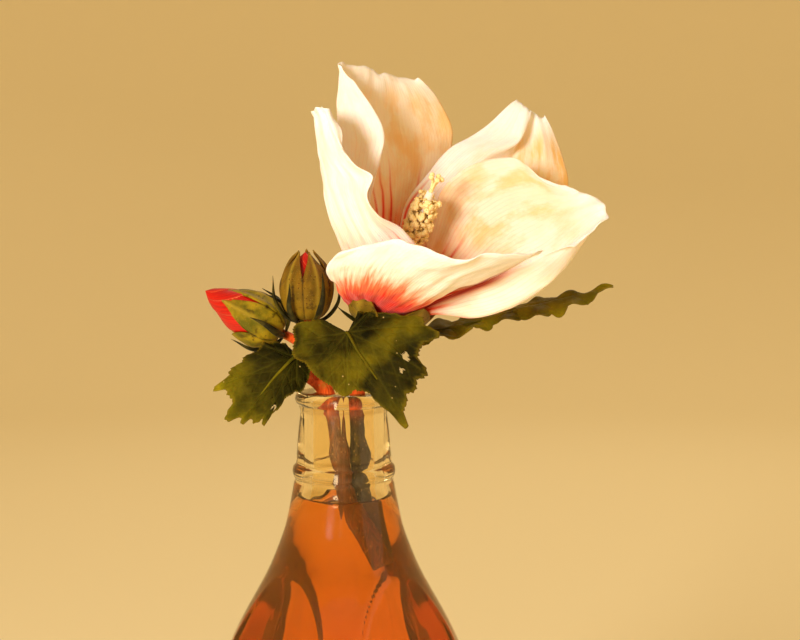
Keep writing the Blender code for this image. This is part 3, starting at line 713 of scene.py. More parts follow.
def flower_base():
    """The foot of the flower's axis, found from the low and high corners of its column."""
    low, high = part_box("staminal_column")
    axis = leaning(LEAN_RIGHT, LEAN_FRONT).to_3x3() @ Vector((0, 0, 1))
    foot, tip = 1.95 * MM, 1.05 * MM
    start, end = 2.2 * MM, 45.0 * MM
    spread = [math.sqrt(1 - c * c) for c in axis]
    x = low.x + foot * spread[0] - start * axis.x
    y = high.y - foot * spread[1] - start * axis.y
    z = high.z - tip * spread[2] - end * axis.z
    return Vector((x, y, z))


FLOWER_BASE = flower_base()
FLOWER = Matrix.Translation(FLOWER_BASE) @ leaning(LEAN_RIGHT, LEAN_FRONT)

# Each petal's azimuth round the flower, and five lines over it from its claw to its top margin, in
# order round the flower. A line's points are (right, back, up) from the flower's base, in mm.
# Heart is how far up each line the red reaches, as a share, and the share after it is how much peach
# shade is painted on that line. Roll turns the top margin over by so many mm, and ruffle is the
# margin's waviness. A dark red shadow is painted along one side edge, where another petal overlaps
# it: its entry gives the side, its width at the claw and how much of that it loses up the petal, and
# the shares of the length over which it comes in and goes out.
PETALS = {
    "petal_back_right": {
        "azimuth": 65,
        "lines": [
            [(17, 6, 16), (36, 9, 26), (55.5, 13, 39.5), (54, 16, 50.8), (48.9, 16, 61)],
            [(14.5, 5, 18), (30, 9, 32), (47, 12, 45), (48.5, 16, 60.5)],
            [(12, 3, 20), (24, 8, 35), (38, 12, 48.5), (45.5, 15.5, 62)],
            [(9, 0.5, 22.5), (17.2, 2, 36.4), (21.6, 4, 43.4), (29.7, 6.5, 48.6), (41, 10, 52.6),
             (45.2, 14, 62)],
            [(6, -0.5, 25), (8, 0.5, 35.1), (13.7, 5, 42.6), (21.4, 10, 51.2), (29.2, 13.5, 56),
             (40.6, 16, 65.6)],
        ],
        "heart": (0.3, 0.3, 0.34, 0.4, 0.4),
        "blush": (0.95, 0.9, 0.75, 0.25, 0),
        "roll": 0.6,
        "ruffle": 0.8,
        "seed": 3,
    },
    "petal_back_left": {
        "azimuth": 137,
        "lines": [
            [(10, 8, 23.5), (18.5, 13, 38), (22, 14, 51.9), (20.8, 12, 58.8), (17.2, 9, 65.9),
             (12.3, 5, 70.8)],
            [(7, 6, 23.5), (11.5, 8.5, 41), (13, 7, 57), (7, 2, 71.6)],
            [(2, 1, 24), (1.5, 1.5, 42), (1, 0, 59), (0.8, -4, 72.2)],
            [(-4, -7, 24), (-8, -11, 41), (-10.5, -14, 58), (-9.5, -15, 73)],
            [(-3.5, -10, 24.5), (-1, -15.5, 41), (2.2, -18, 54), (-1, -18, 62), (-7.6, -17, 71.2)],
        ],
        "heart": (0.38, 0.5, 0.54, 0.46, 0.3),
        "blush": (0.75, 0.7, 0.6, 0.25, 0.05),
        "roll": 0.7,
        "ruffle": 0.2,
        "seed": 5,
    },
    "petal_left": {
        "azimuth": 209,
        "lines": [
            [(-7.5, -4, 20), (-11.5, -8, 34), (-14, -10, 48), (-15.5, -14, 60)],
            [(-7.5, -8, 18), (-12.8, -15, 33), (-15, -20, 47.5), (-16.2, -22, 61)],
            [(-5, -12, 16), (-9, -22, 31), (-12, -28, 46), (-14.5, -28, 62)],
            [(2, -16.5, 14.5), (0, -29.5, 28.5), (-6, -35, 43), (-12.5, -31.5, 61)],
            [(9.5, -20, 13), (12, -26, 22.5), (7.4, -33, 29.2), (0.8, -37.5, 33), (-1.6, -40, 38.6),
             (0, -42, 43.6), (-4.6, -39, 46.6), (-8.6, -35, 50), (-9, -33, 56), (-12, -31, 60.5)],
        ],
        "heart": (0.3, 0.3, 0.34, 0.42, 0.5),
        "blush": (0.25, 0.1, 0, 0, 0.05),
        "roll": 0.7,
        "ruffle": 0.9,
        "seed": 8,
    },
    "petal_front": {
        "azimuth": 281,
        "lines": [
            [(-6.4, -6, 5.6), (-9.4, -13, 9.5), (-11.4, -21.5, 14), (-12.6, -30, 20), (-8.4, -35, 24)],
            [(-1, -14.2, 8), (-1, -27, 12), (2, -38, 19), (4, -46, 26)],
            [(4, -16, 6), (8, -30, 11), (15, -43, 17.5), (21, -54, 23)],
            [(8, -17, 6), (14, -30, 10.5), (24, -42, 17), (36, -52, 23.5)],
            [(12, -16, 7), (20, -27, 12), (31, -37, 17.5), (44, -43, 24.5)],
        ],
        "heart": (0.84, 1, 0.95, 0.66, 0.6),
        "blush": (0.15, 0, 0, 0, 0),
        "slit": (1, 0.14, 0.11, (0.02, 0.1), (0.95, 0.7)),
        "roll": -0.6,
        "ruffle": 0.8,
        "seed": 13,
    },
    "petal_right": {
        "azimuth": 353,
        "lines": [
            [(17, -15, 9), (34, -27, 17), (46, -32, 23), (53, -33, 25)],
            [(15, -12, 5), (28.4, -22, 5.5), (44, -28, 13), (57.5, -30, 29.7)],
            [(17, -8, 8), (34, -14, 12), (50, -20, 20), (62, -27, 32.8)],
            [(16, -3, 15), (32, -5, 30), (50, -12, 35), (56, -18, 39)],
            [(13.5, -1.5, 22), (20, -1.5, 41.5), (38, -4.5, 48.5), (47, -12, 42)],
        ],
        "heart": (0.34, 0.34, 0.4, 0.34, 0.3),
        "blush": (0.1, 0.25, 0.5, 0.85, 0.6),
        "slit": (-1, 0.085, 0.06, (0, 0.05), (0.85, 0.55)),
        "roll": 0.8,
        "ruffle": 0.6,
        "seed": 21,
    },
}


def petal_sheet(azimuth, lines, rows, columns):
    """The middle of a petal from its claw up, its points over the row from one side to the other."""
    angle = math.radians(azimuth)
    axes = np.array(leaning(LEAN_RIGHT, LEAN_FRONT).to_3x3())
    out = axes @ (math.cos(angle), math.sin(angle), 0.0)
    around = axes @ (-math.sin(angle), math.cos(angle), 0.0)
    along = []
    for share, line in zip(np.linspace(-1.0, 1.0, len(lines)), lines):
        claw = out * 3.4 * MM + around * 1.7 * MM * share + axes[:, 2] * 3.0 * MM
        along.append(smooth_line(np.vstack([claw, np.array(line) * MM]), rows))
    along = np.array(along)
    return np.array([smooth_line(along[:, i], columns) for i in range(rows)]) + np.array(FLOWER_BASE)


def make_petal_finish():
    petal = Finish(
        "petal",
        Subsurface_Weight=0.35,
        Subsurface_Radius=(1.0, 0.55, 0.28),
        Subsurface_Scale=0.0022,
        Sheen_Weight=0.12,
        Sheen_Roughness=0.4,
        Specular_IOR_Level=0.3,
    )
    across = petal.attribute("across")
    along = petal.attribute("along")
    number = petal.attribute("number")
    place = petal.place()
    cloud = petal.noise(place, 55.0, 3.0)
    grain = petal.noise(petal.join(across * 14.0, along * 3.0, number), 1.6, 4.0)

    white = petal.mix(cloud.rise(0.35, 0.7), (255, 247, 238), (255, 237, 220))
    streaked = petal.mix(grain.rise(0.5, 0.8) * 0.22, white, (252, 204, 168))
    mottled = petal.noise(petal.join(across * 3.0, along * 4.0, number + 5.0), 1.6, 5.0)
    # Painted shade: peach laid over the parts of each petal that face away from the light, softened by random
    # mottling.
    blush = petal.attribute("blush") * (0.5 + mottled.rise(0.42, 0.62) * 0.5)
    shade_and_mottling = blush + mottled.rise(0.56, 0.7) * 0.12
    peach = petal.mix(shade_and_mottling, streaked, (249, 186, 116))
    skin = petal.mix(along.fall(0.2, 0.62) * 0.35, peach, (252, 170, 128))

    wobble = petal.noise(petal.join(across * 1.5, along * 5.0, number), 1.0, 2.0) - 0.5
    stripe = across * 7.0 + wobble * 0.5 + number
    cell = stripe.maths("FLOOR")
    off = abs(stripe - cell - 0.5)
    chance = petal.node("ShaderNodeTexWhiteNoise", {"noise_dimensions": "1D"}, {"W": cell + number * 7.0})
    reach = petal.attribute("heart").maths("MINIMUM", 0.5) * (0.75 + chance * 0.85)
    line = off.bump(0.09 + along.fall(0.05, 0.7) * 0.2)
    veins = line * (along / reach).fall(0.55, 1.0)
    reached = along / petal.attribute("heart") + (grain - 0.5) * 0.45
    heart = reached.fall(0.3, 1.0)
    # Painted shadow: a dark red line along the edge where one petal overlaps the next, which also deepens the
    # red.
    slit = petal.attribute("slit")
    warm = petal.mix((heart + veins * 0.5).rise(0.0, 0.65), skin, (255, 138, 84))
    red = (heart.rise(0.3, 1.0) + veins * 0.95 + slit).clamped()
    fresh = petal.mix(grain, (208, 12, 5), (232, 44, 24))
    red_and_shadow = petal.mix(slit, fresh, (150, 4, 2))
    colour = petal.mix(red, warm, red_and_shadow)
    threads = across * 24.0 + wobble * 1.6
    ribs = abs(threads - threads.maths("ROUND")).fall(0.0, 0.16)
    faint = petal.mix(ribs * along.fall(0.35, 0.9) * 0.30, colour, (250, 150, 110))
    petal.feed(Base_Color=faint, Roughness=0.62 - ribs * 0.15)
    crumple = petal.noise(petal.join(across * 9.0, along * 16.0, number), 2.2, 3.0)
    petal.relief(crumple * 0.6 + ribs * 0.35, 0.0004, 0.35)
    return petal


def make_petals(finish):
    rows, columns = 96, 72
    u = np.linspace(-1, 1, columns)[None, :]
    v = np.linspace(0, 1, rows)[:, None]
    for number, (name, shape) in enumerate(PETALS.items()):
        seed = shape["seed"]
        grid = petal_sheet(shape["azimuth"], shape["lines"], rows, columns)
        normal = sheet_normals(grid)
        open_part = step(v, 0.12, 0.4)
        pleats = np.cos(u * 22 + lattice(u * 3, v * 4, seed) * 1.5) * 0.22 * open_part * step(v, 1.05, 0.5)
        crinkle = lattice(u * 12 + 20, v * 16 + 20, seed + 1) * 0.22 * open_part
        ruffle = lattice(u * 5 + 9, v * 2 + 9, seed + 2) * 1.5 * shape["ruffle"] * step(v, 0.72, 1.0)
        side = lattice(v * 9 + 5 + 0 * u, u * 0 + 3, seed + 3) * 0.9 * step(abs(u), 0.75, 1.0) * open_part
        width = np.linalg.norm(np.gradient(grid, axis=1), axis=2).sum(axis=1)[:, None]
        room = np.clip(width / (30 * MM), 0.0, 1.0) ** 2.2
        grid = grid + normal * ((pleats + crinkle + ruffle + side) * room * MM)[..., None]
        length = np.gradient(grid, axis=0) * rows
        uneven = lattice(u * 7 + 30, v * 0 + 4, seed + 4) * 0.012 * step(v, 0.8, 1.0) * room
        grid = grid + length * uneven[..., None]
        rolled = step(v, 0.965, 1.0) ** 2 * shape["roll"] * MM
        grid = grid + normal * rolled[..., None]
        thickness = (0.62 - 0.40 * step(v, 0.2, 1.0) - 0.08 * step(abs(u), 0.6, 1.0)) * MM
        # A painted dark red shadow along the edge where another petal overlaps this one.
        slit = 0.0
        if "slit" in shape:
            edge, wide, taper, start, end = shape["slit"]
            slit = np.exp(-(((u - edge) / (wide - taper * v)) ** 4)) * step(v, *start) * step(v, *end)
        lines = np.linspace(-1, 1, len(shape["lines"]))
        heart = np.interp(u, lines, shape["heart"])
        # Painted peach shade on each line, fading out over the top margin.
        blush = np.interp(u, lines, shape["blush"]) * step(v, 1.0, 0.86)
        data = thick_sheet(
            name, grid, thickness, across=u, along=v, number=number * 1.7, slit=slit, heart=heart, blush=blush
        )
        piece("hibiscus_" + name, data, "petal", name, finish=finish)


# --- stamens and stigma --------------------------------------------------------------------

# The turn in radians from one stamen to the next, which spaces them evenly.
GOLDEN_ANGLE = 2.39996


def stamens_shape():
    """Stamens in a spiral round a column along Z. Each has a bent thread and a two-lobed anther
    with grains of pollen on it."""
    r = Recipe(
        "stamens_shape",
        Count=380,
        Start=0.0205,
        Length=0.0225,
        Column=0.0014,
        Thread=0.0021,
        Anther=0.00094,
        Grain=0.00019,
        Seed=4,
    )
    count, seed, thread, anther = r["Count"], r["Seed"], r["Thread"], r["Anther"]
    spots = r.geo("MeshLine", Count=count)
    index = r.geo("InputIndex")
    share = index / count
    angle = index * GOLDEN_ANGLE
    column = r["Column"] * (1.0 - share * 0.25)
    spiral = r.geo(
        "SetPosition", Geometry=spots, Position=r.turned(angle, column, r["Start"] + share * r["Length"])
    )
    tilt = r.random(-0.42, 0.55, seed)
    spin = r.random(-3.1, 3.1, seed + 1.0)
    size = r.random(0.42, 1.2, seed + 2.0)
    bend = r.geo(
        "CurveQuadraticBezier",
        Resolution=5,
        Start=(0.0, 0.0, 0.0),
        Middle=r.join(thread * 0.6, 0.0, 0.0),
        End=r.join(thread, 0.0, thread * 0.28),
    )
    filament = r.tube(bend, 5, 0.00016)
    ball = r.geo("MeshUVSphere", Segments=9, Rings=6, Radius=1.0)
    x, y, height = r.split(r.geo("InputPosition"))
    waist = 1.0 - (y / 0.3).bump(1.0) * 0.25
    lobes = r.join(
        thread + (x * 0.8 * waist - y * y * 0.2) * anther,
        y * anther,
        thread * 0.28 + height * 0.8 * waist * anther,
    )
    kidney = r.geo("SetPosition", Geometry=ball, Position=lobes)
    dust = r.geo("DistributePointsOnFaces", Mesh=kidney, Density=2.0e6, Seed=seed)
    grain = r.geo("MeshIcoSphere", Radius=r["Grain"], Subdivisions=1)
    grains = r.geo("InstanceOnPoints", Points=dust, Instance=grain)
    placed = r.geo(
        "InstanceOnPoints",
        Points=spiral,
        Instance=r.geo("JoinGeometry", Geometry=[filament, kidney, grains]),
        Rotation=r.join(spin, tilt * -1.0, angle),
        Scale=r.join(size, size, size),
    )
    return r.serve(placed)


def stigma_shape():
    """Five short arms that part at the end of the style, each with a round velvety head."""
    r = Recipe("stigma_shape", Arms=5, Foot=0.0445, Height=0.0058, Spread=0.0016, Head=0.00072)
    arms, spread, height, head = r["Arms"], r["Spread"], r["Height"], r["Head"]
    spots = r.geo("MeshLine", Count=arms)
    index = r.geo("InputIndex")
    gathered = r.geo("SetPosition", Geometry=spots, Position=r.join(0.0, 0.0, r["Foot"]))
    end = r.join(spread, 0.0, height - head)
    bend = r.geo(
        "CurveQuadraticBezier",
        Resolution=9,
        Start=(0.0002, 0.0, 0.0),
        Middle=r.join(spread * 0.15, 0.0, height * 0.75),
        End=end,
    )
    arm = r.tube(bend, 9, 0.00034)
    ball = r.geo("MeshIcoSphere", Radius=head, Subdivisions=3)
    rough = r.cells(r.geo("InputPosition"), 5200.0).fall(0.0, 0.5) * 0.00014
    velvet = r.geo("SetPosition", Geometry=ball, Offset=r.scaled(r.geo("InputNormal"), rough))
    lifted = r.geo("Transform", Geometry=velvet, Translation=end)
    placed = r.geo(
        "InstanceOnPoints",
        Points=gathered,
        Instance=r.geo("JoinGeometry", Geometry=[arm, lifted]),
        Rotation=r.join(0.0, 0.0, index * math.tau / arms),
    )
    return r.serve(placed)


def make_pollen():
    pollen = Finish("pollen", Subsurface_Weight=0.0, Subsurface_Scale=0.0008, Specular_IOR_Level=0.3)
    place = pollen.place()
    grains = pollen.cells(place, 2600.0)
    tint = pollen.noise(place, 420.0, 3.0)
    cream = pollen.mix(grains.rise(0.1, 0.6), (255, 240, 196), (255, 226, 150))
    warm = pollen.mix(tint.rise(0.5, 0.75) * 0.45, cream, (246, 190, 96))
    specks = pollen.noise(place, 1500.0, 2.0).rise(0.68, 0.72)
    pollen.feed(Base_Color=pollen.mix(specks * 0.8, warm, (122, 66, 14)), Roughness=0.85 - tint * 0.2)
    pollen.relief(grains, 0.00015, 0.6)
    return pollen


def make_heart(petal, pollen):
    blank = bpy.data.meshes.new("blank")
    data = welded(stamens_shape().grow("stamens", blank, pollen), 1e-9)
    data.transform(FLOWER)
    piece("stamens", data, "pollen", "anthers")
    data = stigma_shape().grow("stigma_arms", blank, pollen)
    data.transform(FLOWER)
    piece("stigma_arms", data, "pollen", "stigma")
    reach = np.linspace(0, 1, 40)
    line = np.stack([0 * reach, 0 * reach, (2.2 + 43.0 * reach) * MM], axis=1)
    widths = (1.95 - 0.9 * reach**0.6 + 0.12 * np.cos(reach * 40)) * MM
    data = rods("column", [line], [widths], petal, Sides=24, Bark=0.0001)
    along = 0.34 + (np.array([p.co.z for p in data.vertices]) / (45 * MM)) * 0.5
    # The column takes the petals' attributes, with a little painted peach shade.
    mark(data, across=0.0, along=along, number=2.0, slit=0.0, heart=0.3, blush=0.3)
    data.transform(FLOWER)
    piece("stamen_column", welded(data), "petal", "staminal_column")


# --- calyces and buds ----------------------------------------------------------------------


def calyx_sheet(profile, lobe_depth, spin, torn, rows=40, per_lobe=26, lobes=5):
    """A bell of joined sepals with pointed lobes. A torn lobe is only a share as long."""
    line = smooth_line(np.array(profile) * MM, 120)
    columns = lobes * per_lobe + 1
    j = np.arange(columns)
    angle = 2 * np.pi * j / (columns - 1) + math.radians(spin)
    off = abs(2 * (j % per_lobe) / per_lobe - 1)
    reach = 1.0 - lobe_depth * (0.45 * off + 0.55 * off**3)
    if torn:
        lobe, left = torn
        here = (j // per_lobe) % lobes == lobe
        joined_part = 1 - lobe_depth
        reach = np.where(here, joined_part + (reach - joined_part) * left, reach)
    share = np.linspace(0, 1, rows)[:, None] * reach[None, :]
    r = np.interp(share * 119, np.arange(120), line[:, 0])
    z = np.interp(share * 119, np.arange(120), line[:, 1])
    grid = np.stack([r * np.cos(angle), r * np.sin(angle), z], axis=2)
    return grid, share, np.broadcast_to(off[None, :], grid.shape[:2])


def make_calyx(name, node, matrix, profile, lobe_depth, finish, seed, ripe, spin=0.0, torn=None):
    grid, share, middle = calyx_sheet(profile, lobe_depth, spin, torn)
    normal = sheet_normals(grid)
    joints = np.exp(-((middle / 0.13) ** 2))
    ribs = 0.30 * joints - 0.22 * np.exp(-(((middle - 1.0) / 0.09) ** 2))
    rows, columns = grid.shape[:2]
    u = np.linspace(0, 20, columns)[None, :]
    v = np.linspace(0, 8, rows)[:, None]
    u[0, -1] = u[0, 0]
    puffs = lattice(u, v, seed) * 0.28 * step(share, 0.05, 0.3)
    outward = -1.0 if (normal[rows // 2, 0] @ grid[rows // 2, 0]) < 0 else 1.0
    grid = grid + normal * outward * ((ribs * step(share, 0.0, 0.2) + puffs) * MM)[..., None]
    grid[:, -1] = grid[:, 0]
    thickness = (0.62 - 0.3 * step(share, 0.3, 1.0)) * MM
    seam = np.exp(-(((middle - 1.0) / 0.06) ** 2)) * (share < 0.9)
    data = thick_sheet(name, grid, thickness, along=share, rib=joints, ripe=ripe, seam=seam)
    data.transform(matrix)
    piece(name, data, "sepal", node, finish=finish)


def furled_shape():
    """Petals rolled round each other in a bud. Turns a profile of (r, 0, z) about Z, and each
    petal's edge stands proud of the next, winding up to the tip."""
    r = Recipe("furled_shape", Rows=10, Steps=120, Petals=5, Twist=0.55, Overlap=0.07, Height=0.025)
    sheet, turn, radius, _, z = r.lathe()
    rise = z / r["Height"]
    wound = turn * r["Petals"] + rise * rise * r["Twist"] * r["Petals"]
    part = wound - wound.maths("FLOOR")
    edge = part.rise(0.0, 0.10) * (1.0 - part * 0.85)
    pleat = (part * 25.0).maths("COSINE") * 0.004
    push = radius * (1.0 - r["Overlap"] + edge * r["Overlap"] * 1.6 + pleat)
    shaped = r.geo("SetPosition", Geometry=sheet, Position=r.turned(turn * math.tau, push, z))
    kept = r.node(
        "GeometryNodeStoreNamedAttribute",
        {"data_type": "FLOAT", "domain": "POINT"},
        {"Geometry": shaped, "Name": "edge", "Value": part},
    )
    return r.serve(r.geo("MergeByDistance", Geometry=kept, Distance=1e-5))


def make_sepal_finish():
    sepal = Finish("sepal", Specular_IOR_Level=0.35, Subsurface_Weight=0.1, Subsurface_Scale=0.0008)
    along = sepal.attribute("along")
    rib = sepal.attribute("rib")
    place = sepal.place()
    fuzz = sepal.noise(place, 1300.0, 3.0)
    cloud = sepal.noise(place, 160.0, 3.0)
    green = sepal.mix(cloud.rise(0.35, 0.65), (90, 84, 9), (166, 142, 22))
    ripe = (sepal.attribute("ripe") + along * 0.5 + cloud - 0.75).clamped()
    brown = sepal.mix(ripe * 0.85, green, (100, 58, 12))
    blotch = sepal.noise(place, 420.0, 3.0).rise(0.57, 0.7) * 0.7
    dark = sepal.mix((blotch + sepal.attribute("seam") * 0.8).clamped(), brown, (38, 22, 5))
    edge = sepal.mix(rib * 0.5, dark, (168, 140, 44))
    hairs = sepal.cells(place, 1700.0).fall(0.05, 0.22)
    specks = sepal.cells(place, 620.0).fall(0.1, 0.16) * sepal.attribute("ripe")
    edge = sepal.mix(specks, edge, (60, 14, 4))
    sepal.feed(Base_Color=sepal.mix(hairs * 0.45, edge, (196, 170, 88)), Roughness=0.72 - fuzz * 0.25)
    sepal.relief(fuzz * 0.5 + hairs, 0.0002, 0.7)
    return sepal


def make_bud_finish():
    petal = Finish(
        "bud_petal",
        Specular_IOR_Level=0.5,
        Coat_Roughness=0.25,
        Subsurface_Weight=0.12,
        Subsurface_Scale=0.001,
    )
    edge = petal.attribute("edge")
    place = petal.place()
    streak = petal.noise(petal.join(edge * 14.0, petal.split(place)[2] * 120.0, 0.0), 1.0, 3.0)
    cloud = petal.noise(place, 190.0, 2.0)
    red = petal.mix(streak.rise(0.3, 0.75), (160, 4, 1), (200, 18, 4))
    # Paler edges and patches on the red: partly the furled petals' own paler margins, partly painted
    # highlight.
    pale = petal.mix(edge.bump(0.07) * 0.5 + cloud.rise(0.62, 0.8) * 0.2, red, (252, 150, 96))
    petal.feed(Base_Color=pale, Roughness=0.46 + streak * 0.14, Coat_Weight=cloud * 0.25)
    petal.relief(streak, 0.00025, 0.5)
    return petal


def make_stalk_finish():
    stalk = Finish("bract", Specular_IOR_Level=0.4)
    place = stalk.place()
    cloud = stalk.noise(place, 260.0, 3.0)
    hairs = stalk.cells(place, 2600.0).fall(0.08, 0.24)
    green = stalk.mix(cloud.rise(0.4, 0.62), (20, 20, 4), (58, 52, 10))
    tan = stalk.mix(cloud.rise(0.64, 0.78) * 0.7, green, (122, 84, 30))
    stalk.feed(Base_Color=stalk.mix(hairs * 0.15, tan, (150, 130, 70)), Roughness=0.7 - cloud * 0.2)
    stalk.relief(cloud + hairs * 0.5, 0.0002, 0.6)
    return stalk


def make_bracts(prefix, matrix, base, length, flare, bow, spin, finish, count=6):
    """A ring of narrow bracts that leave the stalk under the calyx and curve up beside it."""
    lines, widths = [], []
    for k in range(count):
        vary = math.sin(2.4 * k + spin)
        long = length * (1 + 0.14 * vary)
        far = base + flare + bow * (1 + 0.5 * vary)
        path = [(base - 0.8, -0.9), (base + 0.45 * flare, 0.2), (base + flare, 0.4 * long), (far, long)]
        line = smooth_line(np.array(path) * MM, 26)
        angle = math.radians(spin + 360 * k / count) + 0.05 * np.sin(np.linspace(0, 5, 26) + k)
        lines.append(np.stack([line[:, 0] * np.cos(angle), line[:, 0] * np.sin(angle), line[:, 1]], axis=1))
        share = np.linspace(0, 1, 26)
        widths.append((0.5 + 0.5 * np.sin(np.pi * share**0.8)) * (1 - share**5 * 0.85) * MM)
    data = rods(prefix + "_bracts", lines, widths, finish, Sides=10, Flat=0.55, Bark=0.0001)
    data.transform(matrix)
    nodes = [f"{prefix}_bract_{k + 1}" for k in range(count)]
    piece(prefix + "_bracts", welded(data), "stalk", *nodes)


# Each bud's place is (x, y, height from the lip's top) in mm, and its lean is (right, front, spin)
# in degrees. Its bell of sepals and its corolla of furled petals are profiles of (r, z) in mm, and
# the bell is split by a share of its length. Bracts are (length, flare, turn), ripe is how brown
# the sepals are, turn spins them, and torn is (which lobe, the share of it that is left).
BUDS = {
    "centre_bud": {
        "place": (-10.2, -3.6, 20.8),
        "lean": (-1, 7, 49),
        "bell": [(0, 0.5), (3.6, 0.8), (6.4, 4.6), (7.2, 9.6), (5.5, 15.2), (1.9, 19.6)],
        "notch": 0.34,
        "corolla": [(0, 19.4), (1.4, 18.2), (4.4, 14.2), (6.3, 9.6), (5.6, 5), (2.8, 2), (0, 1.6)],
        "bracts": (13, 6.8, 11),
        "ripe": 0.75,
        "turn": 0,
        "torn": None,
    },
    "left_bud": {
        "place": (-18, 3.2, 16.2),
        "lean": (-60, 6, 33),
        "bell": [(0, 0.5), (3.6, 0.8), (6.8, 4.6), (7.5, 8.6), (6.6, 13), (3.9, 18.4), (2, 21.6)],
        "notch": 0.52,
        "corolla": [(0, 25), (1.6, 23.4), (4.4, 18.2), (6.5, 12.2), (6.5, 8), (5.2, 4.4), (2.6, 1.9),
         (0, 1.6)],
        "bracts": (11, 6.8, 0),
        "ripe": 0.15,
        "turn": -8,
        "torn": (2, 0.25),
    },
}


def make_calyces_and_buds(sepal, bud_petal, stalk):
    bell = [(0.0, 0.9), (3.0, 0.6), (6.0, 1.5), (9.4, 4.0), (12.2, 8.0), (14.2, 12.0), (15.2, 16.8)]
    make_calyx("flower_sepals", "flower_calyx", FLOWER, bell, 0.46, sepal, 40, 0.5, spin=202)
    make_bracts("flower", FLOWER, 3.1, 4.0, 6.0, 4.6, 15, stalk)
    furled = furled_shape()
    for number, (name, bud) in enumerate(BUDS.items()):
        right, front, spin = bud["lean"]
        matrix = Matrix.Translation(Vector(above_lip(bud["place"]))) @ leaning(right, front, spin)
        make_calyx(
            name + "_sepals",
            name + "_calyx",
            matrix,
            bud["bell"],
            bud["notch"],
            sepal,
            50 + number,
            bud["ripe"],
            spin=bud["turn"],
            torn=bud["torn"],
        )
        profile = [(r, 0.0, z) for r, z in smooth_line(np.array(bud["corolla"]) * MM, 60)]
        data = furled.grow(
            name + "_corolla",
            line_mesh(name + "_profile", profile),
            bud_petal,
            Rows=len(profile),
            Height=max(z for _, _, z in profile),
        )
        data.transform(matrix)
        piece(name + "_furled_petals", welded(data), "bud_petal", name + "_petals")
        long, flare, turn = bud["bracts"]
        make_bracts(name, matrix, 2.0, long, flare, 0.6, turn, stalk)


# --- leaves --------------------------------------------------------------------------------

# A leaf's petiole and midrib are lines of (x, y, height from the lip's top) in mm. Its outline is
# (degrees from the midrib, reach as a share of the midrib), round the top of the petiole. A long
# leaf has half widths instead, (share of the midrib, mm to the front, mm to the back), with so many
# lobes of such a depth. Its halves bend by so many mm at 10 mm from the midrib. Veins are degrees
# from the midrib, and holes are (degrees, reach, size in mm). Lit is how much painted light falls on
# the leaf's green near its petiole and at its tip; where it is low, the green is painted shade.
LEAVES = {
    "front_leaf": {
        "petiole": [(4.5, 0, 11.8), (2.6, -5.5, 13), (1, -11, 15.6)],
        "midrib": [(1.4, -15, 18.2), (4.4, -17.4, 13.4), (9.8, -17.6, 5.4), (18.2, -15, -9.4)],
        "outline": [
            (-150, 0.24), (-126, 0.47), (-100, 0.50), (-64, 0.45), (-33, 0.55), (-17, 0.53), (-8, 0.70),
            (0, 1.02), (7, 0.80), (18, 0.76), (31, 0.76), (43, 0.64), (56, 0.80), (66, 0.68),
            (78, 0.40), (97, 0.26), (118, 0.20),
        ],
        "facing": (-0.12, -0.98, 0.15),
        "bends": (0.4, 0.3),
        "fold": 0.08,
        "wave": 1.2,
        "notch": 0.92,
        "holes": [(34, 0.55, 1), (22, 0.56, 0.7)],
        "veins": [-112, -70, -33, 0, 31, 60, 95],
        "lit": (-0.15, 0.2),
        "seed": 61,
    },
    "left_leaf": {
        "petiole": [(-12.6, -2.6, 6.6), (-12.6, -4.2, 8.6)],
        "midrib": [(-13.2, -6, 10.2), (-17.4, -8.4, 6.8), (-23.2, -9.2, 0), (-30.2, -8.6, -8.4)],
        "outline": [
            (-100, 0.14), (-60, 0.40), (-46, 0.56), (-36, 0.72), (-26, 1.02), (-19, 0.88), (-6, 1.08),
            (3, 0.98), (11, 0.88), (18, 0.86), (25, 0.64), (34, 0.48), (51, 0.44), (84, 0.24),
            (110, 0.16),
        ],
        "facing": (-0.15, -0.95, 0.3),
        "bends": (1.2, -0.4),
        "fold": 0.05,
        "wave": 0.8,
        "notch": 0.90,
        "holes": [(20, 0.62, 0.8)],
        "veins": [-62, -28, 0, 16, 45],
        "lit": (-0.3, 0.5),
        "seed": 62,
    },
    "right_leaf": {
        "petiole": [(9.4, 4.6, 10.6), (11.6, 5.6, 13.6)],
        "midrib": [(15, 6, 15.2), (30, 6, 17.4), (50, 5, 22.6), (76, 3, 29.4)],
        "half_widths": [
            (0, 0, 0), (0.06, 3, 5), (0.2, 5, 7), (0.3, 4.4, 7), (0.42, 3, 6.5), (0.57, 4.4, 6.5),
            (0.7, 5.6, 6.5), (0.78, 4.6, 4), (0.86, 3.4, 1.8), (0.94, 1.3, 1.3), (1, 0.3, 0.3),
        ],
        "lobes": (8, 0.3),
        "facing": (0.05, -0.42, 0.9),
        "bends": (-1.2, -0.6),
        "fold": -0.12,
        "wave": 1.2,
        "holes": [],
        "veins": [-58, -28, 0, 28, 58],
        "lit": (0.7, 0.9),
        "seed": 63,
    },
}


def leaf_reach(outline, angle, notch):
    """How far a leaf's margin is from the top of its petiole in each direction, with a tooth at
    each point of its outline and small teeth between."""
    angles = [outline[0][0]]
    reaches = [outline[0][1]]
    for (a, near), (b, far) in zip(outline, outline[1:]):
        angles += [(a + b) / 2, b]
        reaches += [(near + far) / 2 * notch, far]
    k = np.clip(np.searchsorted(angles, angle) - 1, 0, len(angles) - 2)
    start, end = np.array(angles)[k], np.array(angles)[k + 1]
    near, far = np.array(reaches)[k], np.array(reaches)[k + 1]
    part = (angle - start) / (end - start)
    to_tooth = np.where(far > near, part, 1 - part)
    low, high = np.minimum(near, far), np.maximum(near, far)
    base = low + (high - low) * (1 - (1 - to_tooth) ** 1.6)
    small = abs(((angle * 0.34) % 1.0) - 0.5) * 2
    return base * (1 - 0.035 * small)


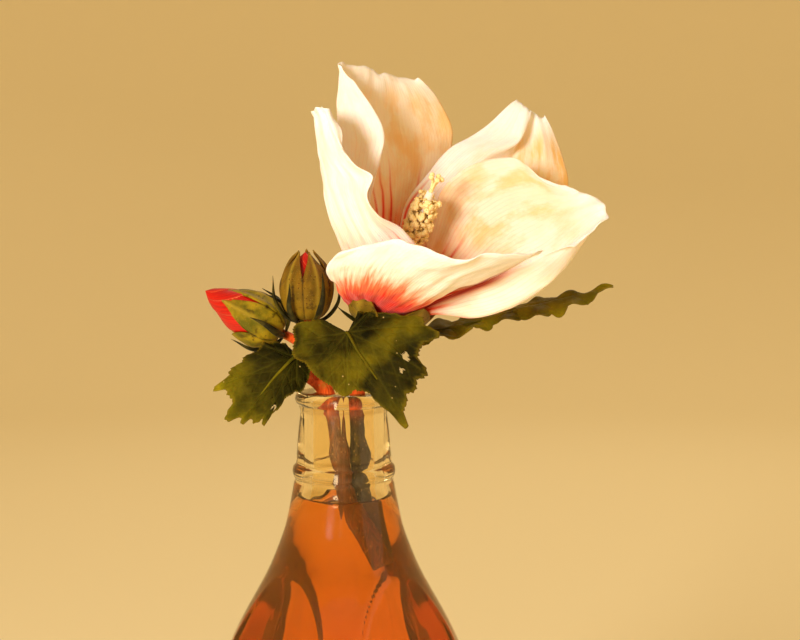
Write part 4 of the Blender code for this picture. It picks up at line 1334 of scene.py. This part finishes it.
def leaf_veins(leaf, along, across, length):
    """How near each point of a leaf is to a vein: 1 on it, falling to 0."""
    mask = np.zeros_like(along)
    for main in leaf["veins"]:
        reach = length * 0.96
        if "outline" in leaf:
            reach *= float(leaf_reach(leaf["outline"], np.array(float(main)), leaf["notch"]))
        direction = math.radians(main)
        ahead = along * math.cos(direction) + across * math.sin(direction)
        off = -along * math.sin(direction) + across * math.cos(direction)
        curve = off - 0.06 * np.sin(ahead / reach * 2.6) * reach * 0.3
        width = (0.52 - 0.34 * np.clip(ahead / reach, 0, 1)) * MM
        inside = step(ahead, 0.0, 0.4 * MM) * step(ahead, reach, reach * 0.93)
        mask = np.maximum(mask, np.exp(-((curve / width) ** 2)) * inside)
        spacing = 0.15 * length
        for side in (-1, 1):
            skew = ahead - side * curve * 1.05
            nearest = np.round(skew / spacing - 0.5) + 0.5
            branch = (skew - nearest * spacing) * 0.70
            reachable = step(side * curve, 0.0, 0.3 * MM) * step(side * curve, 0.30 * length, 0.16 * length)
            inside = reachable * (nearest * spacing < reach * 0.95) * (nearest > 0)
            mask = np.maximum(mask, 0.62 * np.exp(-((branch / (0.26 * MM)) ** 2)) * inside)
    return mask


def long_leaf(leaf, rows, columns):
    """The flat shape of a leaf that is widest near the middle of its midrib, with round lobes along
    both margins: how far each point is along the midrib and off it, and its share of the way to
    the margin."""
    shares, front, back = np.array(leaf["half_widths"]).T
    count, depth = leaf["lobes"]
    x = np.linspace(0, 1, columns)
    s = np.linspace(-1, 1, rows)[:, None]
    widths = []
    for side, half in ((0.0, front), (0.37, back)):
        wide = np.interp(x, shares, half)
        turn = x**1.15 * count + side + 0.22 * np.sin(x * 17 + side * 9)
        uneven = 0.5 + 0.9 * np.sin(np.floor(turn) * 2.7 + side) ** 2
        lobe = 1 - depth * uneven * (1 - np.sin(np.pi * (turn % 1.0) ** 1.4) ** 0.6)
        widths.append(wide * lobe * MM)
    across = np.where(s < 0, s * widths[0], s * widths[1])
    lean = abs(s) ** 1.5 * 0.035
    return np.clip(x + lean * (x > 0.03), 0, 1.02) + 0 * s, across, abs(s) + 0 * x


def leaf_sheet(leaf, rows, columns):
    rib = smooth_line(above_lip(leaf["midrib"]), 201)
    tangent = np.gradient(rib, axis=0)
    tangent /= np.linalg.norm(tangent, axis=1)[:, None]
    side = np.cross(np.array(leaf["facing"], float), tangent)
    side /= np.linalg.norm(side, axis=1)[:, None]
    normal = np.cross(tangent, side)
    length = np.linalg.norm(np.diff(rib, axis=0), axis=1).sum()
    if "outline" in leaf:
        outline = leaf["outline"]
        angle = np.linspace(outline[0][0], outline[-1][0], columns)[None, :]
        share = np.linspace(0, 1, rows)[:, None]
        r = leaf_reach(outline, angle, leaf["notch"]) * length * share
        along = r * np.cos(np.radians(angle))
        across = r * np.sin(np.radians(angle))
    else:
        along, across, share = long_leaf(leaf, rows, columns)
        along = along * length
        angle = np.degrees(np.arctan2(across, along + 1e-6))
        r = np.hypot(along, across)
    on_rib = np.clip(along / length, 0, 1)

    def pick(line):
        return np.stack([np.interp(on_rib * 200, np.arange(201), line[:, k]) for k in range(3)], axis=2)

    centre = pick(rib) + pick(tangent) * (along - on_rib * length)[..., None]
    bends = np.where(across > 0, leaf["bends"][1], leaf["bends"][0]) * MM
    lift = bends * (across / (10 * MM)) ** 2 + leaf["fold"] * abs(across)
    lift += leaf["wave"] * MM * (r / length) ** 2 * np.sin(np.radians(angle * 5))
    veins = leaf_veins(leaf, along, across, length)
    if "lobes" in leaf:
        lift += 1.1 * MM * np.sin(along / length * 2 * np.pi * leaf["lobes"][0] * 0.8) * share**2
    quilt = lattice(along / (2.6 * MM) + 30, across / (2.6 * MM) + 30, leaf["seed"])
    curl = lattice(angle / 7 + 20 + 0 * share, share * 3 + 5, leaf["seed"] + 7) * step(share, 0.6, 1.0)
    lift += (quilt * 0.42 * (1 - veins) - veins * 0.4) * MM + curl * 1.3 * MM
    grid = centre + pick(side) * across[..., None] + pick(normal) * lift[..., None]
    kept = np.ones((rows - 1, columns - 1), bool)
    for direction, far, size in leaf["holes"]:
        x = far * length * math.cos(math.radians(direction))
        y = far * length * math.sin(math.radians(direction))
        ragged = 1 + 0.35 * lattice(along * 3000, across * 3000, 5)
        near = np.hypot(along - x, across - y) < size * MM * ragged
        kept &= ~near[:-1, :-1]
    return grid, kept, veins, share, along, across


def make_leaf_finish():
    leaf = Finish("leaf", Specular_IOR_Level=0.22, Subsurface_Weight=0.08, Subsurface_Scale=0.0009)
    vein = leaf.attribute("vein")
    margin = leaf.attribute("margin")
    light = leaf.attribute("light")
    place = leaf.place()
    cloud = leaf.noise(place, 110.0, 4.0)
    cell = leaf.cells(place, 1500.0)
    # Painted shade and painted light: a shaded green and a lit green, mixed by each point's share of painted
    # light.
    dark = leaf.mix(cloud.rise(0.3, 0.65), (8, 10, 1), (40, 36, 3))
    lit = leaf.mix(cloud.rise(0.3, 0.7), (84, 76, 4), (134, 120, 12))
    blade = leaf.mix((light + (cloud - 0.5) * 0.5).clamped(), dark, lit)
    yellow = leaf.mix(margin.rise(0.93, 1.0) * 0.4, blade, (120, 100, 18))
    veined = leaf.mix(vein * 0.15, yellow, (120, 112, 28))
    spots = leaf.cells(place, 260.0).fall(0.03, 0.07)
    leaf.feed(
        Base_Color=leaf.mix(spots * 0.7, veined, (206, 176, 112)),
        Roughness=0.58 + cell * 0.25,
    )
    leaf.relief(cell * 0.5 + cloud * 0.5, 0.00025, 0.6)
    return leaf


def make_leaves(finish):
    for name, leaf in LEAVES.items():
        grid, kept, veins, share, along, across = leaf_sheet(leaf, 60, 240)
        # Painted light: random lit patches, plus light that changes from the petiole to the tip. Where it is
        # low, the green is painted shade.
        light = step(lattice(along / (9 * MM) + 11, across / (9 * MM) + 11, leaf["seed"] + 3), -0.4, 0.8)
        near, far = leaf["lit"]
        light = light * 0.6 + near + (far - near) * step(along / np.ptp(along), 0.1, 0.9)
        thickness = (0.5 - 0.22 * share) * MM
        blade = thick_sheet(name, grid, thickness, kept, vein=veins, margin=share, light=light)
        blade.materials.append(finish.material)
        route = above_lip(leaf["petiole"] + leaf["midrib"][:3])
        line = smooth_line(route, 60)
        widths = np.linspace(1.0, 0.34, 60) * 0.75 * MM
        stalk = rods(name + "_petiole", [line], [widths], finish, Sides=14, Flat=0.85, Bark=0.0001)
        mark(stalk, vein=0.8, margin=0.0, light=0.5)
        piece(name + "_blade", joined(name + "_blade", [blade, stalk]), "leaf", name)


# --- the studio ----------------------------------------------------------------------------


# The lights aim at the foot of the flower. The camera stands half a metre in front of the middle of
# the view, a little above it.
FLOWER_FOOT = Vector((0.01, 0.0, 0.20))
VIEW_CENTRE = Vector((16.1, 0.0, 210.3)) * MM
FROM_CENTRE = (0.0, -0.4981, 0.0436)


def make_studio():
    """A plain pale floor that curves up into a wall all round, soft lights and the camera."""
    floor = Finish("studio_paper", Roughness=0.9)
    grain = floor.noise(floor.place(), 400.0, 2.0)
    floor.feed(Base_Color=floor.mix(grain * 0.08, (252, 236, 190), (246, 226, 176)))
    line = [(0.0, 0.0), (1.3, 0.0)] + arc((1.3, 1.1), 1.1, -90, 0, 28)[1:] + [(2.4, 2.2)]
    data = bpy.data.meshes.new("studio_floor")
    turns = 96
    points = [
        (r * math.cos(a), r * math.sin(a), z)
        for a in np.linspace(0, math.tau, turns, endpoint=False)
        for r, z in line
    ]
    rows = len(line)
    faces = [
        (k * rows + i, k * rows + i + 1, (k + 1) % turns * rows + i + 1, (k + 1) % turns * rows + i)
        for k in range(turns)
        for i in range(rows - 1)
    ]
    data.from_pydata(points, [], faces)
    data.materials.append(floor.material)
    welded(data)
    data.flip_normals()
    data.shade_smooth()
    bowl = stand("studio_floor", data)

    world = bpy.data.worlds.new("studio_air")
    world.use_nodes = True
    air = world.node_tree.nodes["Background"].inputs
    air["Color"].default_value = shade((255, 226, 178))
    air["Strength"].default_value = 0.5
    bpy.context.scene.world = world

    soft_light("key_light", (-0.48, -0.95, 0.40), 0.30, 13.0, (1.0, 0.95, 0.88), glints=False)
    soft_light("fill_light", (0.95, -0.50, 0.30), 0.90, 0.8, (1.0, 0.84, 0.66))
    soft_light("back_light", (0.30, 1.00, 1.20), 0.90, 4.0, (1.0, 0.90, 0.76))

    lens = bpy.data.cameras.new("camera")
    lens.lens = 78.75
    lens.sensor_width = 36.0
    camera = stand("camera", lens)
    camera.location = VIEW_CENTRE + Vector(FROM_CENTRE)
    camera.rotation_euler = (-Vector(FROM_CENTRE)).to_track_quat("-Z", "Y").to_euler()
    bpy.context.scene.camera = camera
    bpy.context.scene.view_settings.view_transform = "Standard"


def soft_light(name, place, size, power, colour, glints=True):
    lamp = bpy.data.lights.new(name, "AREA")
    lamp.shape = "DISK"
    lamp.size = size
    lamp.energy = power
    lamp.color = colour
    obj = stand(name, lamp)
    obj.location = place
    aim = FLOWER_FOOT - Vector(place)
    obj.rotation_euler = aim.to_track_quat("-Z", "Y").to_euler()
    obj.visible_camera = False
    obj.visible_glossy = glints


petal_finish = make_petal_finish()
pollen_finish = make_pollen()
make_studio()
make_bottle()
make_twigs(make_bark())
make_petals(petal_finish)
make_heart(petal_finish, pollen_finish)
make_calyces_and_buds(make_sepal_finish(), make_bud_finish(), make_stalk_finish())
make_leaves(make_leaf_finish())
